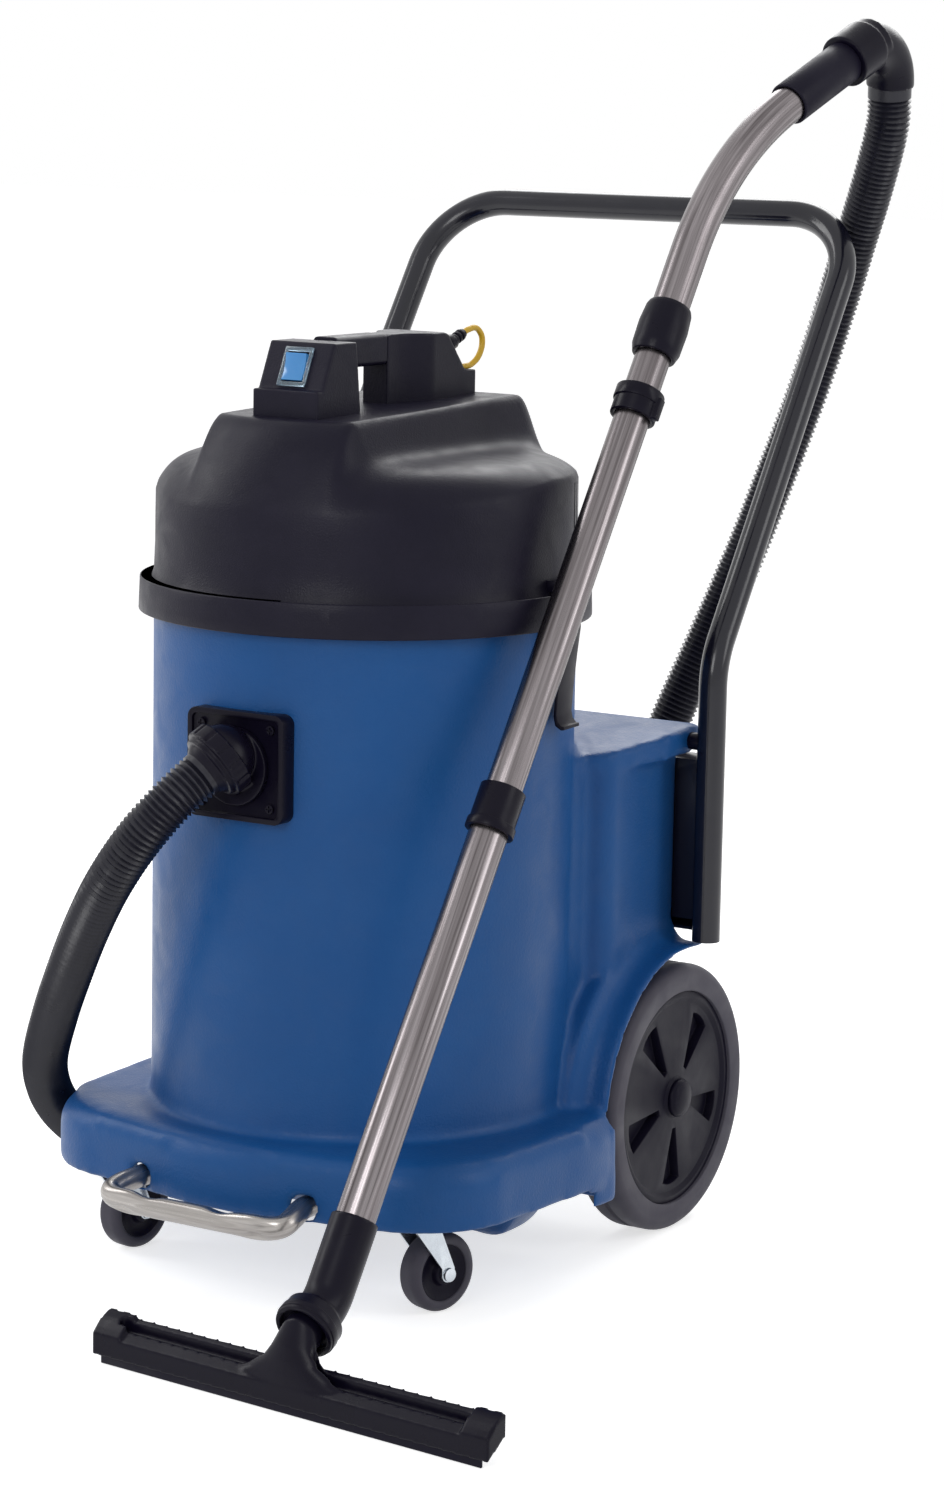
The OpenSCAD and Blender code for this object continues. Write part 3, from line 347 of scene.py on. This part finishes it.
# ---- Tank ----
# One rotationally moulded body of blue plastic: the drum, the deck around its foot, the
# box behind it and the arches over the wheels run into each other with soft corners.

def merged_copy(node):
    """The closed form of this CAD node, ready to work on."""
    form = bmesh.new()
    form.from_mesh(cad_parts[node].data)
    bmesh.ops.remove_doubles(form, verts=form.verts, dist=1e-6)
    return form


def settled(obj, sharp=50):
    """Applies the modifiers and shades the faces smooth up to this angle."""
    graph = bpy.context.evaluated_depsgraph_get()
    mesh = bpy.data.meshes.new_from_object(obj.evaluated_get(graph))
    obj.modifiers.clear()
    obj.data = mesh
    mesh.shade_smooth()
    mesh.set_sharp_from_angle(angle=math.radians(sharp))
    return obj


def soft_moulding(name, form, voxel, ease, keep=1.0):
    """A one-piece moulding of the form, with every inner and outer corner eased."""
    mesh = bpy.data.meshes.new(name)
    form.to_mesh(mesh)
    form.free()
    obj = new_object(name, mesh)
    remesh = obj.modifiers.new("remesh", "REMESH")
    remesh.mode = "VOXEL"
    remesh.voxel_size = voxel
    smooth = obj.modifiers.new("smooth", "SMOOTH")
    smooth.factor = 0.5
    smooth.iterations = ease
    if keep < 1:
        thin = obj.modifiers.new("thin", "DECIMATE")
        thin.ratio = keep
    bpy.context.view_layer.update()
    return settled(obj, 180)


tank_plastic = moulded_plastic("tank_plastic", (0.008, 0.080, 0.270), (0.014, 0.100, 0.31),
                               0.5, 420, 0.00035, 0.3, 0.46, Specular_IOR_Level=0.24)
tank_body = soft_moulding("tank_body", merged_copy("tank"), 0.004, 8, 0.55)


def eased_step(low, high, value):
    share = min(max((value - low) / (high - low), 0), 1)
    return share * share * (3 - 2 * share)


# The sump's floor rises towards the front, and its rear half is squarer.
tray_height, sump_reach, front_lift, rear_spread = 0.111, 0.178, 0.56, 0.09
for vert in tank_body.data.vertices:
    x, y, z = vert.co - drum_axis
    if z < tray_height and math.hypot(x, y) < sump_reach:
        front = 1 - eased_step(-0.045, -0.015, y)
        low = 1 - eased_step(0.05, 0.1, z)
        vert.co.z = tray_height - (tray_height - z) * (1 - front_lift * front)
        vert.co.x += x * rear_spread * low * (1 - front)
finish_piece(tank_body, "machine", tank_plastic, "tank")


# ---- Black mouldings ----
# Collars, cuffs, the inlet elbow and the floor tool are injection mouldings in black
# plastic with a satin face and slightly eased edges.

def eased_copy(name, node, edge, sharp=32, segments=2):
    """The node's own form with its sharp edges eased to this width."""
    form = merged_copy(node)
    bmesh.ops.dissolve_limit(form, angle_limit=math.radians(0.4), use_dissolve_boundaries=False,
                             verts=form.verts, edges=form.edges)
    mesh = bpy.data.meshes.new(name)
    form.to_mesh(mesh)
    form.free()
    obj = new_object(name, mesh)
    bevel = obj.modifiers.new("bevel", "BEVEL")
    bevel.width = edge
    bevel.segments = segments
    bevel.limit_method = "ANGLE"
    bevel.angle_limit = math.radians(sharp)
    bpy.context.view_layer.update()
    return settled(obj, 40)


black_plastic = moulded_plastic("black_plastic", (0.004, 0.003, 0.010), (0.009, 0.008, 0.018),
                                0.4, 900, 0.00006, 0.24, 0.4, Specular_IOR_Level=0.13)

for name, node, body, edge in (
        ("inlet_flange", "inlet_plate", "machine", 0.0012),
        ("inlet_screw_heads", "inlet_screws", "machine", 0.0003),
        ("handle_stand_offs", "handle_spacers", "machine", 0.0006),
        ("wand_lower_collar", "lower_collar", "machine", 0.0008),
        ("wand_clip", "tube_clip", "machine", 0.0008),
        ("wand_upper_collar", "upper_collar", "machine", 0.0008),
        ("lead_gland", "cable_gland", "head", 0.0003),
        ("latch_brackets", "latch_mounts", "head", 0.0004),
        ("latch_strap_left", "latch_left", "latch_left", 0.0006),
        ("latch_strap_right", "latch_right", "latch_right", 0.0006),
        ("float_basket", "float_cage", "head", 0.0005),
        ("tool_swivel", "swivel_ring", "floor_tool", 0.0008)):
    finish_piece(eased_copy(name, node, edge), body, black_plastic, node)

for name, node, body, voxel, ease in (
        ("inlet_elbow", "inlet_collar", "machine", 0.0010, 2),
        ("wand_elbow", "wand_cuff", "machine", 0.0013, 4),
        ("wand_foot", "tool_cuff", "machine", 0.0012, 3),
        ("tool_shell", "tool_body", "floor_tool", 0.0012, 3)):
    piece = soft_moulding(name, merged_copy(node), voxel, ease)
    finish_piece(piece, body, black_plastic, node)


# ---- Rubber ----
# The floor tool's two blades, the wand's grip and the lid's seal are black rubber.

black_rubber = moulded_plastic("black_rubber", (0.007, 0.006, 0.015), (0.014, 0.012, 0.026),
                               0.4, 1200, 0.00008, 0.36, 0.55, Specular_IOR_Level=0.12)
for node, body, edge in (
        ("front_blade", "floor_tool", 0.0005),
        ("rear_blade", "floor_tool", 0.0005),
        ("grip_sleeve", "machine", 0.0012),
        ("lid_seal", "head", 0.0008)):
    piece = eased_copy("rubber_" + node, node, edge)
    finish_piece(piece, body, black_rubber, node)


# ---- Steel wand ----
# Three lengths of drawn stainless tube slide together, and the top tube is bent towards the
# hand. The streaks along each tube are partly the drawing's marks and partly painted
# reflection: their strong light and dark bands stand in for the surroundings the steel mirrors.

drawn, drawn_in, drawn_out = shader_group("drawn_tube", (
    ("Along", "NodeSocketVector", (0, 0, 0)),
    ("Light", "NodeSocketColor", (0.7, 0.7, 0.7, 1)),
    ("Dark", "NodeSocketColor", (0.4, 0.4, 0.4, 1)),
    ("Smoothest", "NodeSocketFloat", 0.16),
    ("Roughest", "NodeSocketFloat", 0.32)), (
    ("Colour", "NodeSocketColor"),
    ("Roughness", "NodeSocketFloat"),
    ("Normal", "NodeSocketVector")))
streak = add_node(drawn, "ShaderNodeTexNoise", {"Scale": 1.0, "Detail": 4.0, "Roughness": 0.7})
streak_range = add_node(drawn, "ShaderNodeMapRange", {"From Min": 0.3, "From Max": 0.7})
drawn_tint = add_node(drawn, "ShaderNodeMix", data_type="RGBA")
drawn_rough = add_node(drawn, "ShaderNodeMapRange", {"From Min": 0.3, "From Max": 0.7})
drawn_bump = add_node(drawn, "ShaderNodeBump", {"Strength": 0.5, "Distance": 0.00005})
drawn.links.new(drawn_in.outputs["Along"], streak.inputs["Vector"])
drawn.links.new(streak.outputs["Fac"], streak_range.inputs["Value"])
drawn.links.new(streak_range.outputs[0], drawn_tint.inputs["Factor"])
drawn.links.new(drawn_in.outputs["Dark"], drawn_tint.inputs["A"])
drawn.links.new(drawn_in.outputs["Light"], drawn_tint.inputs["B"])
drawn.links.new(streak.outputs["Fac"], drawn_rough.inputs["Value"])
drawn.links.new(drawn_in.outputs["Roughest"], drawn_rough.inputs["To Min"])
drawn.links.new(drawn_in.outputs["Smoothest"], drawn_rough.inputs["To Max"])
drawn.links.new(streak.outputs["Fac"], drawn_bump.inputs["Height"])
drawn.links.new(drawn_tint.outputs["Result"], drawn_out.inputs["Colour"])
drawn.links.new(drawn_rough.outputs[0], drawn_out.inputs["Roughness"])
drawn.links.new(drawn_bump.outputs[0], drawn_out.inputs["Normal"])


def drawn_metal(name, light, dark, smoothest, roughest, metallic=1.0, turned=(0, 0, 0),
                stretch=(900, 900, 6), mapped=False):
    material, tree, shader = new_material(name, Metallic=metallic)
    place = add_node(tree, "ShaderNodeTexCoord")
    mapping = add_node(tree, "ShaderNodeMapping", {"Rotation": turned})
    spread = add_node(tree, "ShaderNodeVectorMath", operation="MULTIPLY")
    spread.inputs[1].default_value = stretch
    surface = add_node(tree, "ShaderNodeGroup", node_tree=drawn)
    for socket, value in (("Light", (*light, 1)), ("Dark", (*dark, 1)),
                          ("Smoothest", smoothest), ("Roughest", roughest)):
        surface.inputs[socket].default_value = value
    tree.links.new(place.outputs["UV" if mapped else "Object"], mapping.inputs["Vector"])
    tree.links.new(mapping.outputs[0], spread.inputs[0])
    tree.links.new(spread.outputs[0], surface.inputs["Along"])
    tree.links.new(surface.outputs["Colour"], shader.inputs["Base Color"])
    tree.links.new(surface.outputs["Roughness"], shader.inputs["Roughness"])
    tree.links.new(surface.outputs["Normal"], shader.inputs["Normal"])
    return material


wand_lean = math.radians(33.54)
# The streak colours of the stainless tubes: their strong contrast, far darker than bare steel in
# the dark bands, is painted reflection of dark surroundings.
steel_light_streak_and_reflection, steel_dark_streak_and_reflection = (0.34, 0.31, 0.32), (0.07, 0.06, 0.062)
stainless = drawn_metal("stainless", steel_light_streak_and_reflection, steel_dark_streak_and_reflection, 0.2, 0.34,
                        turned=(wand_lean, 0, 0), stretch=(240, 240, 2.5))
for name, node in (("wand_lower_tube", "lower_tube"), ("wand_middle_tube", "middle_tube")):
    finish_piece(eased_copy(name, node, 0.0004), "machine", stainless, node)

wand_foot = drum_axis + Vector((0.2235, -0.3788, 0.080))
wand_yaw = math.radians(-0.33)
wand_turn = Matrix.Rotation(wand_yaw, 3, "Z") @ Matrix.Rotation(-wand_lean, 3, "X")
bend_start, bend_side, bend_angle, bend_radius = 0.992, math.radians(72), math.radians(31.4), 0.363
bent_from, grip_length, tube_radius = 0.900, 0.089, 0.017


def bent_axis(count):
    """Points along the bent tube: straight, through the bend and straight to the grip."""
    aside = Vector((math.cos(bend_side), math.sin(bend_side), 0))
    rise = Vector((0, 0, 1))
    points = [bent_from * rise + k / 4 * (bend_start - bent_from) * rise for k in range(4)]
    for k in range(count + 1):
        angle = bend_angle * k / count
        points.append(bend_start * rise + bend_radius * (
            (1 - math.cos(angle)) * aside + math.sin(angle) * rise))
    ahead = math.sin(bend_angle) * aside + math.cos(bend_angle) * rise
    points += [points[-1] + ahead * grip_length * k / 3 for k in (1, 2, 3)]
    return [wand_foot + wand_turn @ p for p in points]


# The bent tube gets the same streak colours, painted reflection included, mapped along it.
bent_steel = drawn_metal("stainless_bent", steel_light_streak_and_reflection, steel_dark_streak_and_reflection, 0.2, 0.34,
                         stretch=(1.2, 22, 1), mapped=True)
bent_piece = swept_tube("wand_bent_tube", bent_axis(28), tube_radius, 48)
finish_piece(bent_piece, "machine", bent_steel, "bent_tube")


# ---- Push handle ----
# One steel tube is bent into a hoop, enamelled gloss black and bolted to the box by
# both legs. The folded plate between the legs has the same enamel.

def enamel(name, colour, **sockets):
    return moulded_plastic(name, colour, (0.02, 0.02, 0.026), 0.3, 240, 0.00006, 0.1, 0.22,
                           **sockets)


black_enamel = enamel("black_enamel", (0.006, 0.006, 0.014), Specular_IOR_Level=0.45)
bar_radius, bar_half, leg_y, leg_foot, knee_z = 0.013, 0.235, 0.221, 0.274, 0.534
bar_y, bar_z, corner_bend, knee_bend = 0.488, 0.932, 0.075, 0.080
slope = math.atan2(bar_y - leg_y, bar_z - knee_z)
slope_length = math.hypot(bar_y - leg_y, bar_z - knee_z)


def half_hoop():
    """The right half of the hoop, from the leg's foot to the top bar."""
    knee_low = knee_z - knee_bend * math.tan(slope / 2)
    points = [Vector((bar_half, leg_y, leg_foot + k / 6 * (knee_low - leg_foot)))
              for k in range(6)]
    for k in range(13):
        angle = slope * k / 12
        points.append(Vector((bar_half, leg_y + knee_bend * (1 - math.cos(angle)),
                              knee_low + knee_bend * math.sin(angle))))
    for k in range(19):
        angle = math.pi / 2 * k / 18
        far = slope_length - corner_bend * (1 - math.sin(angle))
        points.append(Vector((bar_half - corner_bend * (1 - math.cos(angle)),
                              leg_y + far * math.sin(slope), knee_z + far * math.cos(slope))))
    return points


right_half = half_hoop()
hoop = right_half + [Vector((-p.x, p.y, p.z)) for p in reversed(right_half)]
hoop_piece = swept_tube("push_handle", [drum_axis + p for p in hoop], bar_radius, 32)
finish_piece(hoop_piece, "machine", black_enamel, "handle_frame")
finish_piece(eased_copy("handle_back_plate", "rear_panel", 0.0008), "machine",
             black_enamel, "rear_panel")


# ---- Zinc-plated steel ----
# The axle, the handle's bolts, the tread bar and the casters' forks are bright zinc.

zinc = drawn_metal("zinc", (0.6, 0.64, 0.68), (0.5, 0.54, 0.58), 0.2, 0.32,
                   stretch=(60, 60, 60))
for name, node, body, edge in (
        ("wheel_axle", "rear_axle", "machine", 0.0008),
        ("handle_bolt_pair", "handle_bolts", "machine", 0.0006),
        ("caster_base_plates", "caster_plates", "machine", 0.0005),
        ("caster_plate_bolts", "caster_bolts", "machine", 0.0005),
        ("caster_yoke_left", "caster_fork_left", "caster_left", 0.0006),
        ("caster_yoke_right", "caster_fork_right", "caster_right", 0.0006)):
    finish_piece(eased_copy(name, node, edge), body, zinc, node)

tread_route = (
    (-0.087, -0.186, 0.096), (-0.087, -0.202, 0.096), (-0.0875, -0.218, 0.0957),
    (-0.092, -0.238, 0.093), (-0.091, -0.252, 0.089), (-0.076, -0.258, 0.0865),
    (-0.040, -0.259, 0.086), (0, -0.259, 0.086), (0.040, -0.259, 0.086),
    (0.076, -0.258, 0.0865), (0.091, -0.252, 0.089), (0.092, -0.238, 0.093),
    (0.0875, -0.218, 0.0957), (0.087, -0.202, 0.096), (0.087, -0.186, 0.096))
tread_rings, tread_radius = 120, 0.0098
tread_line = spaced([drum_axis + p for p in through(tread_route, 8)], tread_rings)[0]


def bell(value, centre, width):
    return math.exp(-((value - centre) / width) ** 2)


def tread_section(ring, angle):
    """The pressed tube stands tall at its corners, is creased along the front of its top,
    pinched twice at the back and dimpled at each end. Angles run from the back upwards."""
    along = ring / tread_rings
    corner = bell(along, 0.29, 0.06) + bell(along, 0.71, 0.06)
    middle = eased_step(0.2, 0.27, along) * (1 - eased_step(0.73, 0.8, along))
    squeeze = 0.26 * corner * -math.cos(2 * angle)
    crease = 0.2 * middle * bell(angle, 2.3, 0.4)
    pinches = 0.42 * bell(angle, 0.9, 0.6) * (bell(along, 0.36, 0.03) + bell(along, 0.6, 0.03))
    dimples = 0.3 * bell(angle, 3.5, 0.4) * (bell(along, 0.28, 0.025) + bell(along, 0.72, 0.025))
    return tread_radius * (1 + squeeze - crease - pinches - dimples)


tread_steel = drawn_metal("tread_steel", (0.44, 0.42, 0.40), (0.26, 0.24, 0.23), 0.24, 0.36,
                          stretch=(2, 14, 1), mapped=True)
finish_piece(swept_tube("tread_bar", tread_line, tread_section, 48), "machine",
             tread_steel, "foot_bar")


# ---- Wheels ----
# Black plastic discs carry solid grey rubber tyres, and the casters are made alike.

wheel_plastic = moulded_plastic("wheel_plastic", (0.005, 0.004, 0.012), (0.009, 0.008, 0.018),
                                0.5, 800, 0.0001, 0.34, 0.5, Specular_IOR_Level=0.1)
tyre_rubber = moulded_plastic("tyre_rubber", (0.058, 0.054, 0.074), (0.085, 0.082, 0.1),
                              0.6, 900, 0.0001, 0.5, 0.7, Specular_IOR_Level=0.3)
for side in ("left", "right"):
    for name, node, body, slot, material in (
            ("disc", "wheel_disc", "wheel", "wheel_plastic", wheel_plastic),
            ("cap", "hub_cap", "wheel", "wheel_plastic", wheel_plastic),
            ("tyre", "tyre", "wheel", "tyre_grey", tyre_rubber),
            ("caster_disc", "caster_wheel", "caster_wheel", "wheel_plastic", wheel_plastic),
            ("caster_tyre_ring", "caster_tyre", "caster_wheel", "tyre_grey", tyre_rubber)):
        node = node + "_" + side
        piece = eased_copy(name + "_" + side, node, 0.0009)
        finish_piece(piece, body + "_" + side, material, node)


# ---- Motor head ----
# The head's cover is one deep moulding in black plastic. A broad ridge runs from front
# to back over a domed skirt, and the carry handle with its switch sits on the ridge.

head_plastic = moulded_plastic("head_plastic", (0.008, 0.007, 0.017), (0.016, 0.014, 0.028),
                               0.6, 620, 0.00025, 0.3, 0.46, Specular_IOR_Level=0.14)

rim_z, cover_radius, cover_foot = 0.600, 0.188, 0.6117
ridge_z, ridge_half, cover_wall = 0.768, 0.074, 0.004
shoulder_rise, shoulder_climb = 0.088, 0.022
dome_rise, dome_ease = 0.127, 0.016
ridge_drop, ridge_slope, ridge_front, ridge_length = 0.004, 4, 0.140, 128
flank_inset, flank_width, flank_power = 0.006, 0.0095, 3
crest_reach, crest_power = 0.044, 1.7
ridge_end = (0.140, 0.186)
cover_rings, cover_spokes = 90, 240


def cover_edge(x, y):
    """The height where the skirt turns in, lower at the front."""
    ahead = (y / max(math.hypot(x, y), 1e-5) + 0.8) / 0.9
    return rim_z + shoulder_rise + shoulder_climb * min(max(ahead, 0), 1)


def cover_top(x, y):
    """The height of the cover's upper surface."""
    inward = max(cover_radius - math.hypot(x, y), 0)
    edge = cover_edge(x, y)
    dome = edge + (rim_z + dome_rise - edge) * (1 - math.exp(-inward / dome_ease))
    ridge = ridge_z + ridge_slope * (y + ridge_front) / ridge_length - ridge_drop
    beyond = max(0, abs(x) - ridge_half + flank_inset) / flank_width
    side = 1 / (1 + beyond ** flank_power)
    if y < 0:
        crest = edge + (ridge - edge) * (1 - (1 - min(1, inward / crest_reach)) ** crest_power)
    else:
        crest = dome + (ridge - dome) * (1 - eased_step(*ridge_end, y))
    return dome + (crest - dome) * side


def cover_form():
    """A disc of fine rings is turned from a spoke, lifted to the cover's height and
    carried down to the foot by the skirt."""
    form = bmesh.new()
    rings = [cover_radius * (1 - k / cover_rings) for k in range(cover_rings + 1)]
    spoke = [form.verts.new((r, 0, 0)) for r in rings]
    edges = [form.edges.new(pair) for pair in zip(spoke, spoke[1:])]
    bmesh.ops.spin(form, geom=spoke + edges, cent=(0, 0, 0), axis=(0, 0, 1),
                   angle=2 * math.pi, steps=cover_spokes, use_merge=True)
    bmesh.ops.remove_doubles(form, verts=form.verts, dist=1e-5)
    for vert in form.verts:
        vert.co.z = cover_top(vert.co.x, vert.co.y)
    rim = [e for e in form.edges if e.is_boundary]
    for drop, spread in ((0.25, 1.0), (0.6, 1.0), (0.93, 1.004), (1.0, 1.02)):
        made = bmesh.ops.extrude_edge_only(form, edges=rim)
        rim = [e for e in made["geom"] if isinstance(e, bmesh.types.BMEdge)]
        for vert in {v for e in rim for v in e.verts}:
            top = cover_edge(vert.co.x, vert.co.y)
            vert.co.z = top + (cover_foot - top) * drop
            vert.co.x *= spread
            vert.co.y *= spread
    bmesh.ops.recalc_face_normals(form, faces=form.faces)
    return form


cover = bpy.data.meshes.new("motor_hood")
cover_mesh_form = cover_form()
cover_mesh_form.to_mesh(cover)
cover_mesh_form.free()
hood = new_object("motor_hood", cover)
hood_soft = hood.modifiers.new("soften", "SMOOTH")
hood_soft.iterations = 2
wall = hood.modifiers.new("wall", "SOLIDIFY")
wall.thickness = cover_wall
wall.offset = -1
bpy.context.view_layer.update()
settled(hood, 60)

# Two upright slots let the motors' air out on each side of the skirt.
slot_turns, slot_rise = (20, 23.5, 156.5, 160), 0.086
slot_depth, slot_width, slot_height = 0.024, 0.0036, 0.040
slot_form = bmesh.new()
for degrees in slot_turns:
    turned = Matrix.Rotation(math.radians(degrees), 4, "Z")
    place_at = turned @ Matrix.Translation((cover_radius, 0, rim_z + slot_rise))
    bmesh.ops.create_cube(slot_form, size=1, matrix=place_at @ Matrix.Diagonal(
        (slot_depth, slot_width, slot_height, 1)))
slot_mesh = bpy.data.meshes.new("vent_slots")
slot_form.to_mesh(slot_mesh)
slot_form.free()
slots = new_object("vent_slots", slot_mesh)
vents = hood.modifiers.new("vents", "BOOLEAN")
vents.object = slots
vents.operation = "DIFFERENCE"
vents.solver = "EXACT"
bpy.context.view_layer.update()
settled(hood, 60)
bpy.data.objects.remove(slots)
hood.data.transform(Matrix.Translation(drum_axis))
finish_piece(hood, "head", head_plastic, "motor_cover")

for name, node, edge in (("lid_ring", "lid_band", 0.0016), ("head_floor", "motor_plate", 0.0008)):
    finish_piece(eased_copy(name, node, edge), "head", head_plastic, node)
block_front_share, block_taper = 0.45, (0.024, 0.062)
for name, node, voxel, ease in (
        ("switch_nose", "switch_housing", 0.0012, 3),
        ("carry_bar", "grip_bar", 0.0012, 3),
        ("lead_block", "rear_block", 0.0014, 4)):
    piece = soft_moulding(name, merged_copy(node), voxel, ease)
    if name == "lead_block":
        # The block is as narrow as the carry bar at its front and widens behind it.
        for vert in piece.data.vertices:
            widened = eased_step(*block_taper, vert.co.y - drum_axis.y)
            share = block_front_share + (1 - block_front_share) * widened
            vert.co.x = drum_axis.x + (vert.co.x - drum_axis.x) * share
    finish_piece(piece, "head", head_plastic, node)

motor_steel = drawn_metal("motor_steel", (0.3, 0.3, 0.32), (0.2, 0.2, 0.22), 0.35, 0.5,
                          stretch=(200, 200, 200))
for node in ("motor_front", "motor_rear"):
    finish_piece(eased_copy(node + "_case", node, 0.003), "head", motor_steel, node)

float_plastic = moulded_plastic("float_plastic", (0.75, 0.75, 0.72), (0.6, 0.58, 0.52), 0.3,
                                500, 0.0001, 0.35, 0.5)
finish_piece(eased_copy("float", "float_ball", 0.0005), "float", float_plastic,
             "float_ball")


# ---- Switch and lead ----
# A clear blue rocker sits in a soft frame on the front of the carry handle. A short loop
# of yellow flex is moulded into the gland on the rear block.

rocker_blue = moulded_plastic("rocker_blue", (0.03, 0.24, 0.62), (0.08, 0.36, 0.75), 0.6, 300,
                              0.00003, 0.1, 0.2, Coat_Weight=0.5)
boot_rubber = moulded_plastic("boot_rubber", (0.45, 0.6, 0.72), (0.5, 0.62, 0.7), 0.5, 900,
                              0.00005, 0.12, 0.2, Transmission_Weight=0.85)
lead_sheath = moulded_plastic("lead_sheath", (0.72, 0.44, 0.02), (0.6, 0.38, 0.05), 0.5, 900,
                              0.00005, 0.35, 0.5)
finish_piece(eased_copy("rocker", "rocker_switch", 0.0008), "rocker", rocker_blue,
             "rocker_switch")
finish_piece(eased_copy("switch_frame", "switch_boot", 0.0008), "head", boot_rubber,
             "switch_boot")
lead_route = (
    (0.023, 0.118, 0.827), (0.024, 0.126, 0.830), (0.025, 0.137, 0.831), (0.026, 0.145, 0.824),
    (0.026, 0.146, 0.814), (0.025, 0.141, 0.804), (0.024, 0.131, 0.798), (0.023, 0.122, 0.7968),
    (0.022, 0.110, 0.7968))
lead_rings, lead_radius = 64, 0.0028
lead_line = spaced([drum_axis + p for p in through(lead_route, 8)], lead_rings)[0]
finish_piece(swept_tube("yellow_lead", lead_line, lead_radius, 16), "head",
             lead_sheath, "power_lead")
